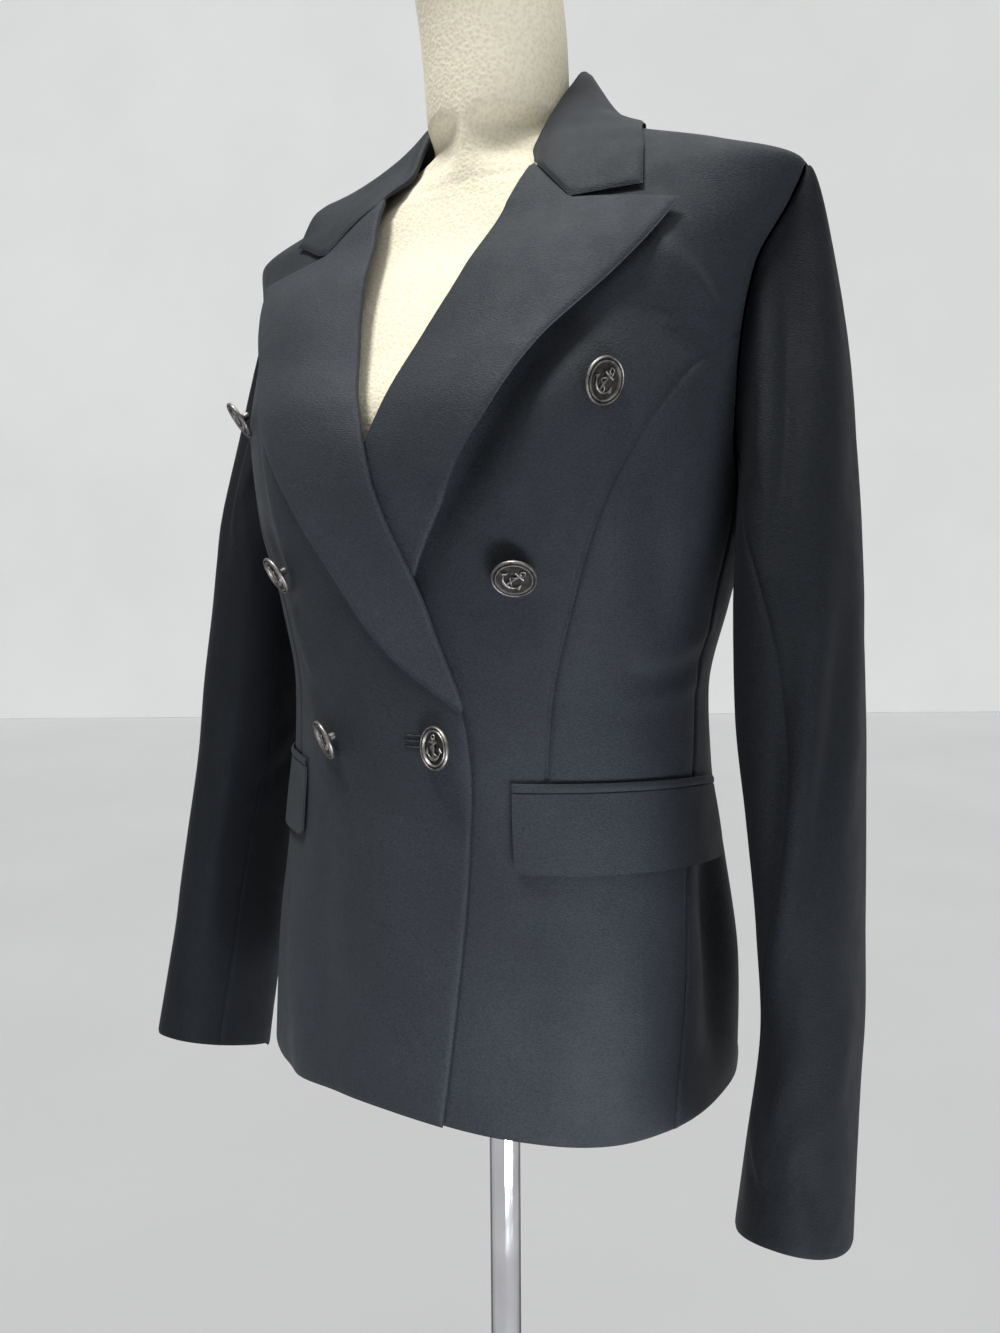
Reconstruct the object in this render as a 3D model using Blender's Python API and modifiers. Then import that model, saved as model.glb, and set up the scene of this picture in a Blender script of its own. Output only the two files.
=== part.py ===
"""Double-breasted blazer with peak lapels, standing on a limbless dress form.

Metres, +Z up. The origin is the middle of the stand's foot, on the floor. +X is the wearer's
left and -Y is the front. Each cut piece of cloth is its own wall, worked out on one torso
surface: rings of rounded cross-section, read from the SECTIONS table. Paired pieces are worked
out on the wearer's left and mirrored. A piece that lies on another is made from the same
surface, moved out.
"""
import collections
import math

import bpy
import numpy as np
from mathutils import Vector

CLOTH = 0.0014  # one wall of cloth with its interlining
SEAM = 0.0003  # gap between two pieces at a seam
REST = 0.0004  # gap under a piece that lies on another
LAPEL_REST = 0.0010
POCKET_REST = 0.0007
DERIVATIVE = 1e-4  # step for surface normals

# The torso of the blazer, outer face of the cloth, a ring for each height.
Section = collections.namedtuple(
    "Section", "height half_width front_depth back_depth front_power back_power"
)
SECTIONS = (
    Section(0.745, 0.1630, 0.1470, 0.1440, 2.15, 2.15),
    Section(0.830, 0.1605, 0.1385, 0.1270, 2.15, 2.20),
    Section(0.900, 0.1515, 0.1305, 0.1120, 2.15, 2.20),
    Section(0.960, 0.1440, 0.1270, 0.0950, 2.15, 2.20),
    Section(1.005, 0.1425, 0.1255, 0.0830, 2.15, 2.25),
    Section(1.060, 0.1535, 0.1290, 0.0900, 2.15, 2.40),
    Section(1.115, 0.1645, 0.1405, 0.1000, 2.20, 2.70),
    Section(1.165, 0.1670, 0.1460, 0.1060, 2.20, 3.00),
    Section(1.210, 0.1700, 0.1295, 0.1090, 2.20, 3.20),
    Section(1.250, 0.1770, 0.1070, 0.1085, 2.20, 3.00),
    Section(1.285, 0.1935, 0.0730, 0.1010, 2.20, 2.60),
    Section(1.303, 0.1976, 0.0610, 0.0940, 2.20, 2.40),
    Section(1.322, 0.1570, 0.0455, 0.0870, 2.20, 2.30),
    Section(1.340, 0.1040, 0.0280, 0.0790, 2.20, 2.20),
    Section(1.356, 0.0660, 0.0130, 0.0700, 2.20, 2.20),
    Section(1.364, 0.0440, 0.0060, 0.0650, 2.20, 2.20),
)
SHOULDER_TIP = 1.303
NECK_SIDE = 1.356
NECK_BACK = 1.352

# How far the front's free edge stands past the centre line: front edge, roll line, neckline.
Opening = collections.namedtuple("Opening", "height reach")
OPENING = (
    Opening(0.745, -0.0440),
    Opening(0.800, -0.0480),
    Opening(0.860, -0.0512),
    Opening(0.920, -0.0526),
    Opening(0.960, -0.0528),
    Opening(0.985, -0.0508),
    Opening(1.003, -0.0478),
    Opening(1.040, -0.0360),
    Opening(1.080, -0.0235),
    Opening(1.115, -0.0105),
    Opening(1.150, 0.0003),
    Opening(1.180, 0.0123),
    Opening(1.210, 0.0238),
    Opening(1.240, 0.0343),
    Opening(1.270, 0.0433),
    Opening(1.300, 0.0510),
    Opening(1.315, 0.0545),
    Opening(1.330, 0.0585),
    Opening(1.345, 0.0635),
    Opening(1.356, 0.0660),
)
BREAK_HEIGHT = 1.003  # where the lapel starts to roll
GORGE_HEIGHT = 1.315  # where the collar meets the roll line

# The front leans in towards the chest beside the roll line, by this much over this width.
Lean = collections.namedtuple("Lean", "height depth")
LEANS = (
    Lean(1.130, 0.0000),
    Lean(1.150, 0.0030),
    Lean(1.170, 0.0080),
    Lean(1.200, 0.0100),
    Lean(1.235, 0.0115),
    Lean(1.255, 0.0095),
    Lean(1.275, 0.0045),
    Lean(1.290, 0.0000),
)
LEAN_WIDTH = 0.060

# Seams as angles round the torso: 0 is the centre front, 90 the side, 180 the centre back.
Seam = collections.namedtuple("Seam", "height angle")
PRINCESS_SEAM = (
    Seam(0.745, 36.5),
    Seam(0.961, 37.8),
    Seam(0.990, 38.4),
    Seam(1.044, 40.4),
    Seam(1.074, 42.0),
    Seam(1.101, 44.2),
    Seam(1.128, 48.2),
    Seam(1.154, 54.0),
    Seam(1.172, 59.0),
    Seam(1.190, 65.0),
    Seam(1.204, 73.0),
    Seam(1.214, 79.5),
)
SIDE_SEAM = (
    Seam(0.745, 66.5),
    Seam(0.785, 68.2),
    Seam(0.850, 71.6),
    Seam(0.903, 76.0),
    Seam(0.950, 82.5),
    Seam(0.990, 85.5),
    Seam(1.030, 86.0),
    Seam(1.080, 85.0),
    Seam(1.136, 86.0),
)
BACK_SEAM = (
    Seam(0.745, 140.0),
    Seam(0.850, 138.0),
    Seam(0.960, 136.0),
    Seam(1.060, 136.0),
    Seam(1.120, 133.0),
    Seam(1.165, 126.5),
    Seam(1.190, 118.0),
)

# The armhole, once round from the shoulder through the front, the underarm and the back.
Notch = collections.namedtuple("Notch", "angle height")
ARMHOLE = (
    Notch(90.0, 1.303),
    Notch(82.5, 1.287),
    Notch(79.5, 1.264),
    Notch(79.0, 1.239),
    Notch(79.5, 1.214),
    Notch(80.0, 1.185),
    Notch(81.5, 1.157),
    Notch(86.0, 1.136),
    Notch(94.0, 1.130),
    Notch(104.0, 1.138),
    Notch(113.0, 1.160),
    Notch(118.0, 1.190),
    Notch(119.0, 1.222),
    Notch(115.0, 1.255),
    Notch(106.0, 1.283),
    Notch(97.0, 1.298),
)
PRINCESS_NOTCH, SIDE_NOTCH, BACK_NOTCH = 4, 7, 11
ARMHOLE_STEP = 0.5

HEM_SIDE, HEM_FRONT_RISE, HEM_BACK_RISE = 0.755, 0.014, 0.005

# The wearer's right front lies on the left one and on its lapel.
OVERLAP_FULL, OVERLAP_END = 0.060, 0.095  # reach where the lift starts to fade, and ends
Layer = collections.namedtuple("Layer", "height lift")
OVERLAP_LIFTS = (
    Layer(0.745, 0.0026),
    Layer(0.940, 0.0026),
    Layer(0.995, 0.0052),
    Layer(1.130, 0.0056),
    Layer(1.200, 0.0000),
)

# Lapel, flat on the front: distance from the centre line and height of its outer edge.
Edge = collections.namedtuple("Edge", "height reach")
LAPEL_EDGE = (
    Edge(1.0030, -0.0472),
    Edge(1.0090, -0.0403),
    Edge(1.0175, -0.0291),
    Edge(1.0315, -0.0110),
    Edge(1.0540, 0.0095),
    Edge(1.0730, 0.0212),
    Edge(1.0900, 0.0300),
    Edge(1.1150, 0.0455),
    Edge(1.1450, 0.0623),
    Edge(1.1750, 0.0825),
    Edge(1.2050, 0.0999),
    Edge(1.2350, 0.1222),
    Edge(1.2600, 0.1380),
    Edge(1.2760, 0.1460),
)
NOTCH_REACH, NOTCH_HEIGHT = 0.0868, 1.2846
NOTCH_SHARE = 0.36
LAPEL_LIFT_EDGE = 0.0016

# Collar stations from the nape to the front end: its fold and its outer edge.
Station = collections.namedtuple("Station", "share fold_x fold_y fold_z edge_x edge_y edge_z")
COLLAR = (
    Station(0.00, 0.0000, 0.0660, 1.3965, 0.0000, 0.0840, 1.3480),
    Station(0.25, 0.0300, 0.0550, 1.3990, 0.0420, 0.0770, 1.3490),
    Station(0.45, 0.0475, 0.0300, 1.3975, 0.0780, 0.0460, 1.3480),
    Station(0.60, 0.0520, 0.0060, 1.3815, 0.0970, 0.0120, 1.3440),
    Station(0.75, 0.0495, -0.0135, 1.3605, 0.1085, -0.0195, 1.3330),
    Station(0.88, 0.0464, -0.0334, 1.3345, 0.1190, -0.0430, 1.3170),
    Station(1.00, 0.0545, -0.0540, 1.3155, 0.1255, -0.0590, 1.2880),
)
COLLAR_CLEAR = 0.0022  # least distance of the collar from the shoulders under it
FOLD_RADIUS = 0.0030
STAND_CLOTH = 0.0012
STAND_END = 0.65  # the stand runs out before the gorge

# Sleeve rings, from the level where the sleeve hangs free down to the cuff.
Ring = collections.namedtuple("Ring", "height x_centre y_centre half_width half_depth")
SLEEVE = (
    Ring(0.720, 0.2231, -0.0640, 0.0291, 0.0469),
    Ring(0.765, 0.2232, -0.0520, 0.0270, 0.0485),
    Ring(0.820, 0.2237, -0.0374, 0.0248, 0.0508),
    Ring(0.880, 0.2185, -0.0263, 0.0258, 0.0539),
    Ring(0.940, 0.2115, -0.0164, 0.0288, 0.0558),
    Ring(1.000, 0.2050, -0.0094, 0.0320, 0.0584),
    Ring(1.060, 0.2005, -0.0005, 0.0325, 0.0596),
    Ring(1.100, 0.1985, 0.0045, 0.0310, 0.0605),
)
SLEEVE_POWER = 2.3
CAP_HEIGHT, CUFF_HEIGHT = 1.100, 0.720
CUFF_TILT = 0.42
SleeveSeam = collections.namedtuple("SleeveSeam", "height turn")
FOREARM_SEAMS = {
    "left": (
        SleeveSeam(0.720, 150.0),
        SleeveSeam(0.800, 145.0),
        SleeveSeam(0.845, 127.0),
        SleeveSeam(0.887, 105.5),
        SleeveSeam(0.943, 84.0),
        SleeveSeam(0.985, 76.5),
        SleeveSeam(1.027, 82.0),
        SleeveSeam(1.072, 100.0),
        SleeveSeam(1.100, 119.0),
        SleeveSeam(1.140, 146.25),
    ),
    "right": (
        SleeveSeam(0.720, 154.0),
        SleeveSeam(0.830, 159.0),
        SleeveSeam(0.950, 159.0),
        SleeveSeam(1.060, 154.0),
        SleeveSeam(1.140, 146.25),
    ),
}
HINDARM_TURN = 236.25

# Hip pocket: a welt with a flap under it, from the front across the side seam.
POCKET_START, POCKET_END = 30.0, 98.0
WELT_TOP, WELT_DROP, WELT_HEIGHT = 0.9645, 0.0123, 0.0058
FLAP_FOOT, FLAP_FOOT_DROP = 0.9135, 0.0120
FLAP_CORNER = 0.008
WELT_CLOTH, FLAP_CLOTH = 0.0012, 0.0016
FLAP_STAND_OFF = 0.0022

# Buttons: where they are sewn on the front and which way each one has sagged.
BUTTON_RADIUS = 0.0125
BUTTON_REACH = 0.0088  # from the cloth to the middle of the button's back
SHANK_RADIUS = 0.0021
ButtonRow = collections.namedtuple(
    "ButtonRow", "name reach height left_turn left_rise right_turn right_rise left_sink"
)
BUTTONS = (
    ButtonRow("top", 0.1210, 1.180, 66.0, -14.0, -38.0, -34.0, 0.0019),
    ButtonRow("middle", 0.0800, 1.083, 25.0, -40.0, -30.0, -30.0, 0.0),
    ButtonRow("bottom", 0.0385, 0.984, -18.0, 2.0, -32.0, -20.0, 0.0),
)

# Dress form: torso and neck as one padded body, rings from the flat foot to the neck's top.
FormRing = collections.namedtuple(
    "FormRing", "height half_width front_depth back_depth y_centre front_power back_power"
)
FORM = (
    FormRing(0.800, 0.1380, 0.1080, 0.1030, 0.0000, 2.20, 2.20),
    FormRing(0.806, 0.1450, 0.1150, 0.1100, 0.0000, 2.20, 2.20),
    FormRing(0.870, 0.1440, 0.1160, 0.1080, 0.0000, 2.20, 2.20),
    FormRing(0.930, 0.1360, 0.1140, 0.0960, 0.0000, 2.20, 2.20),
    FormRing(0.970, 0.1290, 0.1120, 0.0850, 0.0000, 2.20, 2.20),
    FormRing(1.005, 0.1270, 0.1120, 0.0755, 0.0000, 2.20, 2.25),
    FormRing(1.060, 0.1370, 0.1160, 0.0820, 0.0000, 2.20, 2.35),
    FormRing(1.115, 0.1480, 0.1260, 0.0915, 0.0000, 2.20, 2.50),
    FormRing(1.165, 0.1520, 0.1270, 0.0970, 0.0000, 2.20, 2.60),
    FormRing(1.210, 0.1530, 0.1050, 0.0990, 0.0000, 2.20, 2.70),
    FormRing(1.250, 0.1560, 0.0800, 0.0985, 0.0000, 2.20, 2.60),
    FormRing(1.280, 0.1680, 0.0590, 0.0930, 0.0000, 2.10, 2.40),
    FormRing(1.299, 0.1760, 0.0500, 0.0870, 0.0000, 2.00, 2.30),
    FormRing(1.311, 0.1680, 0.0450, 0.0830, 0.0000, 1.75, 2.25),
    FormRing(1.3195, 0.1570, 0.0430, 0.0800, 0.0000, 1.30, 2.20),
    FormRing(1.337, 0.1060, 0.0430, 0.0710, 0.0000, 0.90, 2.10),
    FormRing(1.352, 0.0490, 0.0440, 0.0580, 0.0000, 1.15, 2.05),
    FormRing(1.364, 0.0462, 0.0450, 0.0500, -0.0003, 1.90, 2.00),
    FormRing(1.385, 0.0460, 0.0462, 0.0470, -0.0012, 2.00, 2.00),
    FormRing(1.410, 0.0464, 0.0464, 0.0464, -0.0040, 2.00, 2.00),
    FormRing(1.440, 0.0463, 0.0463, 0.0463, -0.0115, 2.00, 2.00),
    FormRing(1.496, 0.0460, 0.0460, 0.0460, -0.0275, 2.00, 2.00),
    FormRing(1.500, 0.0425, 0.0425, 0.0425, -0.0285, 2.00, 2.00),
)
FORM_SIDES = 32

POLE_RADIUS = 0.011
SOCKET_RADIUS, SOCKET_HEIGHT = 0.024, 0.030
FOOT_RADIUS, FOOT_THICKNESS = 0.160, 0.008
HUB_RADIUS, HUB_HEIGHT = 0.020, 0.040
TURN_STEPS = 24
BUTTON_STEPS = 18


# --- tables and curves -------------------------------------------------------------------


def smooth(table, column, at):
    """The table's column at some heights, by a monotone cubic through its rows."""
    knots = np.array([row[0] for row in table])
    values = np.array([getattr(row, column) for row in table])
    step = np.diff(knots)
    rise = np.diff(values) / step
    slope = np.concatenate([rise[:1], np.zeros(len(rise) - 1), rise[-1:]])
    same = rise[:-1] * rise[1:] > 0
    before = 2 * step[1:] + step[:-1]
    after = step[1:] + 2 * step[:-1]
    safe = np.where(same, rise[:-1], 1.0), np.where(same, rise[1:], 1.0)
    mean = (before + after) / (before / safe[0] + after / safe[1])
    slope[1:-1] = np.where(same, mean, 0.0)
    at = np.clip(np.asarray(at, float), knots[0], knots[-1])
    i = np.clip(np.searchsorted(knots, at, side="right") - 1, 0, len(step) - 1)
    u = (at - knots[i]) / step[i]
    return (
        values[i] * (1 + 2 * u) * (1 - u) ** 2
        + values[i + 1] * u**2 * (3 - 2 * u)
        + step[i] * (slope[i] * u * (1 - u) ** 2 - slope[i + 1] * u**2 * (1 - u))
    )


def ease(value, start, end):
    """0 before start, 1 after end, smooth between."""
    share = np.clip((np.asarray(value, float) - start) / (end - start), 0.0, 1.0)
    return share**2 * (3 - 2 * share)


def armhole_at(place):
    """(angle, height) on the armhole; place counts notches and wraps round."""
    points = np.array(ARMHOLE)
    place = np.mod(np.asarray(place, float), len(points))
    i = np.floor(place).astype(int)
    u = (place - i)[..., None]
    a, b, c, d = (points[(i + k) % len(points)] for k in (-1, 0, 1, 2))
    curve = 2 * b + (c - a) * u + (2 * a - 5 * b + 4 * c - d) * u**2
    curve = (curve + (3 * b - a - 3 * c + d) * u**3) / 2
    return curve[..., 0], curve[..., 1]


def armhole_run(start, end):
    """(angle, height) along the armhole, at the points that all its pieces share."""
    count = round(abs(end - start) / ARMHOLE_STEP) + 1
    return np.stack(armhole_at(np.linspace(start, end, count)), axis=-1)


# --- the torso surface -------------------------------------------------------------------


def body_point(angle, height):
    """Outer face of the torso, at an angle in degrees from the centre front."""
    angle = np.radians(angle)
    cosine, sine = np.cos(angle), np.sin(angle)
    front = smooth(SECTIONS, "front_depth", height)
    back = smooth(SECTIONS, "back_depth", height)
    depth = np.where(cosine > 0, front, back)
    front_power = smooth(SECTIONS, "front_power", height)
    power = np.where(cosine > 0, front_power, smooth(SECTIONS, "back_power", height))
    size = (np.abs(cosine) ** power + np.abs(sine) ** power) ** (-1 / power)
    x = smooth(SECTIONS, "half_width", height) * sine * size
    return np.stack([x, -depth * cosine * size, height + 0 * x], axis=-1)


def angle_at(reach, height):
    """The angle on the front at a distance from the centre line."""
    share = reach / smooth(SECTIONS, "half_width", height)
    power = smooth(SECTIONS, "front_power", height)
    size = np.minimum(np.abs(share), 1.0)
    return np.degrees(np.arctan2(np.sign(share) * size, (1 - size**power) ** (1 / power)))


def leaned(points):
    """The fronts lean in beside the roll line."""
    height = points[..., 2]
    past = points[..., 0] - smooth(OPENING, "reach", height)
    share = np.clip(1 - past / LEAN_WIDTH, 0.0, 1.3) ** 2
    depth = smooth(LEANS, "depth", height) * (height > LEANS[0].height)
    moved = points.copy()
    moved[..., 1] += depth * share * (points[..., 1] < 0)
    return moved


def normals_of(surface, u, v):
    """Unit normals of surface(u, v), by differences."""
    du = surface(u + DERIVATIVE * 10, v) - surface(u - DERIVATIVE * 10, v)
    dv = surface(u, v + DERIVATIVE) - surface(u, v - DERIVATIVE)
    normal = np.cross(du, dv)
    return normal / np.linalg.norm(normal, axis=-1, keepdims=True)


def torso(angle, height):
    return leaned(body_point(angle, height))


def lifted(angle, height, lift):
    """The torso surface moved out along its normals."""
    base = torso(angle, height)
    return base + normals_of(torso, angle, height) * np.asarray(lift)[..., None]


def overlap_lift(reach, height):
    """How far the wearer's right front stands off, at a reach of its own side."""
    return smooth(OVERLAP_LIFTS, "lift", height) * ease(-reach, -OVERLAP_END, -OVERLAP_FULL)


# --- meshes ------------------------------------------------------------------------------


def material(name, colour, roughness, metallic=0.0):
    made = bpy.data.materials.new(name)
    made.use_nodes = True
    shader = made.node_tree.nodes["Principled BSDF"]
    shader.inputs["Base Color"].default_value = (*colour, 1.0)
    shader.inputs["Roughness"].default_value = roughness
    shader.inputs["Metallic"].default_value = metallic
    return made


def add_object(name, mesh, look):
    made = bpy.data.objects.new(name, mesh)
    made.data.materials.append(look)
    bpy.data.collections[COLLECTION].objects.link(made)
    return made


def shell(name, outer, inner, look, mirror=False, present=None):
    """A closed wall between two grids of points; present says which grid faces exist."""
    rows, columns = outer.shape[:2]
    index = np.arange(rows * columns).reshape(rows, columns)
    faces = [
        (index[r, c], index[r + 1, c], index[r + 1, c + 1], index[r, c + 1])
        for r in range(rows - 1)
        for c in range(columns - 1)
        if present is None or present[r, c]
    ]
    sides = {(face[k], face[(k + 1) % 4]) for face in faces for k in range(4)}
    rim = [(a, b) for a, b in sides if (b, a) not in sides]
    inside = rows * columns
    faces += [tuple(inside + k for k in reversed(face)) for face in list(faces)]
    faces += [(b, a, inside + a, inside + b) for a, b in sorted(rim)]
    points = np.concatenate([outer.reshape(-1, 3), inner.reshape(-1, 3)])
    if mirror:
        points = points * (-1, 1, 1)
        faces = [tuple(reversed(face)) for face in faces]
    used = sorted({int(k) for face in faces for k in face})
    renumber = {k: i for i, k in enumerate(used)}
    faces = [[renumber[int(k)] for k in face] for face in faces]
    mesh = bpy.data.meshes.new(name)
    mesh.from_pydata([tuple(points[k]) for k in used], [], faces)
    mesh.shade_smooth()
    mesh.set_sharp_from_angle(angle=math.radians(50))
    return add_object(name, mesh, look)


def cloth(name, surface, u, v, look, thickness=CLOTH, mirror=False, present=None):
    """A wall of cloth whose outer face is surface(u, v); u runs across and v runs along."""
    outer = surface(u, v)
    inner = outer - normals_of(surface, u, v) * thickness
    return shell(name, outer, inner, look, mirror, present)


def patch(inner, outer, foot, top):
    """Points between four edges, each a list of (angle, height)."""
    s = np.linspace(0, 1, len(foot))[:, None, None]
    t = np.linspace(0, 1, len(inner))[None, :, None]
    sides = (1 - s) * inner[None] + s * outer[None]
    ends = (1 - t) * foot[:, None] + t * top[:, None]
    corners = (1 - s) * ((1 - t) * inner[0] + t * inner[-1])
    corners = corners + s * ((1 - t) * outer[0] + t * outer[-1])
    return sides + ends - corners


def straight(start, end, count):
    return np.linspace(start, end, count)


def pairs(angles, heights):
    return np.stack(np.broadcast_arrays(angles, heights), axis=-1).astype(float)


def hem_height(angle):
    cosine = np.cos(np.radians(angle))
    rise = np.where(cosine > 0, HEM_FRONT_RISE * cosine**4, HEM_BACK_RISE * cosine**2)
    return HEM_SIDE + rise


def pocket_share(angle):
    return np.clip((angle - POCKET_START) / (POCKET_END - POCKET_START), 0.0, 1.0)


def pocket_line(angle):
    """The cut under the welt, where the side front ends."""
    return WELT_TOP - WELT_HEIGHT / 2 - WELT_DROP * pocket_share(angle) ** 2


# --- torso pieces ------------------------------------------------------------------------

HALF_SEAM = math.degrees(SEAM / 2 / 0.130)
LOW_LEVELS = (0.745, 0.800, 0.855, 0.910, 0.9616, 0.983, 1.003)
POCKET_ROW = 4
FRONT_COLUMNS, SIDE_COLUMNS, CHEST_ROWS = 9, 5, 7


def princess_heights():
    """Row heights on the princess seam, shared by the front and the side front."""
    chest = np.linspace(BREAK_HEIGHT, PRINCESS_SEAM[-1].height, CHEST_ROWS + 1)[1:]
    return np.concatenate([LOW_LEVELS, chest])


def side_heights():
    """Row heights on the side seam: under the pocket, then above it."""
    angle = smooth(SIDE_SEAM, "angle", 0.945)
    low = np.array(LOW_LEVELS[: POCKET_ROW + 1])
    share = (low - low[0]) / (low[-1] - low[0])
    under = hem_height(angle) + share * (pocket_line(angle) - SEAM / 2 - hem_height(angle))
    above = princess_heights()[POCKET_ROW:]
    share = (above - above[0]) / (above[-1] - above[0])
    start = pocket_line(angle) + SEAM / 2
    return under, start + share * (SIDE_SEAM[-1].height - start)


def front_grid():
    """(angle, height) of the front: full width under the pocket, to the princess seam above."""
    armhole = armhole_run(PRINCESS_NOTCH, 0)
    on_seam = princess_heights()[:-1]
    outer_levels = np.concatenate([on_seam, armhole[:, 1]])
    outer = np.concatenate([smooth(PRINCESS_SEAM, "angle", on_seam) - HALF_SEAM, armhole[:, 0]])
    outer[len(on_seam)] -= HALF_SEAM
    fan = (NECK_SIDE - BREAK_HEIGHT) / (SHOULDER_TIP - BREAK_HEIGHT)
    above = BREAK_HEIGHT + (outer_levels - BREAK_HEIGHT) * fan
    levels = np.where(outer_levels > BREAK_HEIGHT, above, outer_levels)
    inner = angle_at(smooth(OPENING, "reach", levels), levels)
    inner[-1] = outer[-1] = 90.0 - 2.5 * HALF_SEAM
    share = np.linspace(0, 1, FRONT_COLUMNS + 1)[:, None]
    angle = (1 - share) * inner + share * outer
    height = (1 - share) * levels + share * outer_levels
    side = smooth(SIDE_SEAM, "angle", levels) - HALF_SEAM
    share = np.linspace(0, 1, SIDE_COLUMNS + 1)[1:, None]
    angle = np.concatenate([angle, (1 - share) * outer + share * side])
    height = np.concatenate([height, levels + 0 * share])
    rows = slice(0, POCKET_ROW + 1)
    angle[-1, rows] = smooth(SIDE_SEAM, "angle", side_heights()[0]) - HALF_SEAM
    start, end = LOW_LEVELS[0], LOW_LEVELS[POCKET_ROW]
    portion = (height[:, rows] - start) / (end - start)
    foot, top = hem_height(angle[:, rows]), pocket_line(angle[:, rows]) - SEAM / 2
    height[:, rows] = foot + portion * (top - foot)
    present = np.ones((angle.shape[0] - 1, angle.shape[1] - 1), bool)
    present[FRONT_COLUMNS:, POCKET_ROW:] = False
    return angle, height, present


def front_surface(on_top):
    def surface(angle, height):
        reach = body_point(angle, height)[..., 0]
        lift = overlap_lift(reach, height) if on_top else 0.0 * reach
        return lifted(angle, height, lift)

    return surface


def make_fronts(look):
    angle, height, present = front_grid()
    for side, on_top in (("left", False), ("right", True)):
        surface = front_surface(on_top)
        cloth(f"{side}_front", surface, angle, height, look, mirror=on_top, present=present)


def lifted_surface(lift=0.0):
    return lambda angle, height: lifted(angle, height, lift + 0.0 * angle)


def side_front_grid():
    top = armhole_run(PRINCESS_NOTCH, SIDE_NOTCH)
    _, side = side_heights()
    heights = princess_heights()[POCKET_ROW:].copy()
    seam_angle = smooth(PRINCESS_SEAM, "angle", heights) + 1.6 * HALF_SEAM
    side_angle = smooth(SIDE_SEAM, "angle", side) - HALF_SEAM
    foot_angle = np.linspace(seam_angle[0], side_angle[0], len(top))
    foot = pairs(foot_angle, pocket_line(foot_angle) + SEAM / 2)
    heights[0] = foot[0, 1]
    inner = pairs(seam_angle, heights)
    outer = pairs(side_angle, side)
    foot[-1] = outer[0]
    top[0], top[-1] = inner[-1], outer[-1]
    return patch(inner, outer, foot, top)


def back_seam_heights():
    """Row heights on the back seam, shared by the side back and the back."""
    under, above = side_heights()
    side = np.concatenate([under, above[1:]])
    share = (side - side[0]) / (side[-1] - side[0])
    start = hem_height(BACK_SEAM[0].angle)
    return start + share * (BACK_SEAM[-1].height - start)


def side_back_grid():
    top = armhole_run(SIDE_NOTCH, BACK_NOTCH)
    under, above = side_heights()
    side = np.concatenate([under, above[1:]])
    back = back_seam_heights()
    inner = pairs(smooth(SIDE_SEAM, "angle", side) + HALF_SEAM, side)
    outer = pairs(smooth(BACK_SEAM, "angle", back) - HALF_SEAM, back)
    foot_angle = np.linspace(inner[0, 0], outer[0, 0], len(top))
    foot = pairs(foot_angle, hem_height(foot_angle))
    foot[0], foot[-1] = inner[0], outer[0]
    top[0], top[-1] = inner[-1], outer[-1]
    return patch(inner, outer, foot, top)


def back_grid():
    shoulder_columns, neck_columns = 5, 4
    columns = shoulder_columns + neck_columns
    foot_angle = np.linspace(BACK_SEAM[0].angle + HALF_SEAM, 180 - HALF_SEAM, columns)
    foot = pairs(foot_angle, hem_height(foot_angle))
    heights = back_seam_heights()[:-1]
    foot[0, 1] = heights[0]
    seam = pairs(smooth(BACK_SEAM, "angle", heights) + HALF_SEAM, heights)
    inner = np.concatenate([seam, armhole_run(BACK_NOTCH, len(ARMHOLE))])
    inner[len(seam), 0] += HALF_SEAM
    share = (inner[:, 1] - foot[0, 1]) / (SHOULDER_TIP - foot[0, 1])
    outer = pairs(180 - HALF_SEAM, foot[-1, 1] + share * (NECK_BACK - foot[-1, 1]))
    start = 90 + 2 * HALF_SEAM
    shoulder = straight((start, SHOULDER_TIP), (start, NECK_SIDE), shoulder_columns + 1)
    neck = straight((start, NECK_SIDE), (180 - HALF_SEAM, NECK_BACK), neck_columns)
    top = np.concatenate([shoulder[:-1], neck])
    inner[-1], outer[-1] = top[0], top[-1]
    return patch(inner, outer, foot, top)


def make_sides_and_backs(look):
    grids = {"side_front": side_front_grid(), "side_back": side_back_grid(), "back": back_grid()}
    for piece, grid in grids.items():
        for side, mirror in (("left", False), ("right", True)):
            surface = lifted_surface()
            cloth(f"{side}_{piece}", surface, grid[..., 0], grid[..., 1], look, mirror=mirror)


# --- lapels and collar -------------------------------------------------------------------


def lapel_top(share):
    """(reach, height) along the gorge seam to the notch, then along the lapel's top edge."""
    share = np.asarray(share, float)
    roll = (smooth(OPENING, "reach", GORGE_HEIGHT), GORGE_HEIGHT)
    tip = (LAPEL_EDGE[-1].reach, LAPEL_EDGE[-1].height)
    places = (0.0, NOTCH_SHARE, 1.0)
    reach = np.interp(share, places, (roll[0], NOTCH_REACH, tip[0]))
    height = np.interp(share, places, (roll[1], NOTCH_HEIGHT, tip[1]))
    return np.stack([reach, height], axis=-1)


def lapel_grid():
    """(reach, height) of the lapel, from the roll line to its outer edge."""
    rows = 20
    shares = np.array([0.0, 0.18, NOTCH_SHARE, 0.52, 0.68, 0.84, 1.0])
    along = np.linspace(0.02, 1, rows)
    roll_height = BREAK_HEIGHT + along * (GORGE_HEIGHT - BREAK_HEIGHT)
    edge_height = BREAK_HEIGHT + along * (LAPEL_EDGE[-1].height - BREAK_HEIGHT)
    roll = pairs(smooth(OPENING, "reach", roll_height), roll_height)
    edge = pairs(smooth(LAPEL_EDGE, "reach", edge_height), edge_height)
    s = shares[:, None, None]
    flat = (1 - s) * roll[None] + s * edge[None]
    bend = lapel_top(shares) - flat[:, -1]
    return flat + bend[:, None] * (along**5)[None, :, None], shares, along


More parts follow.
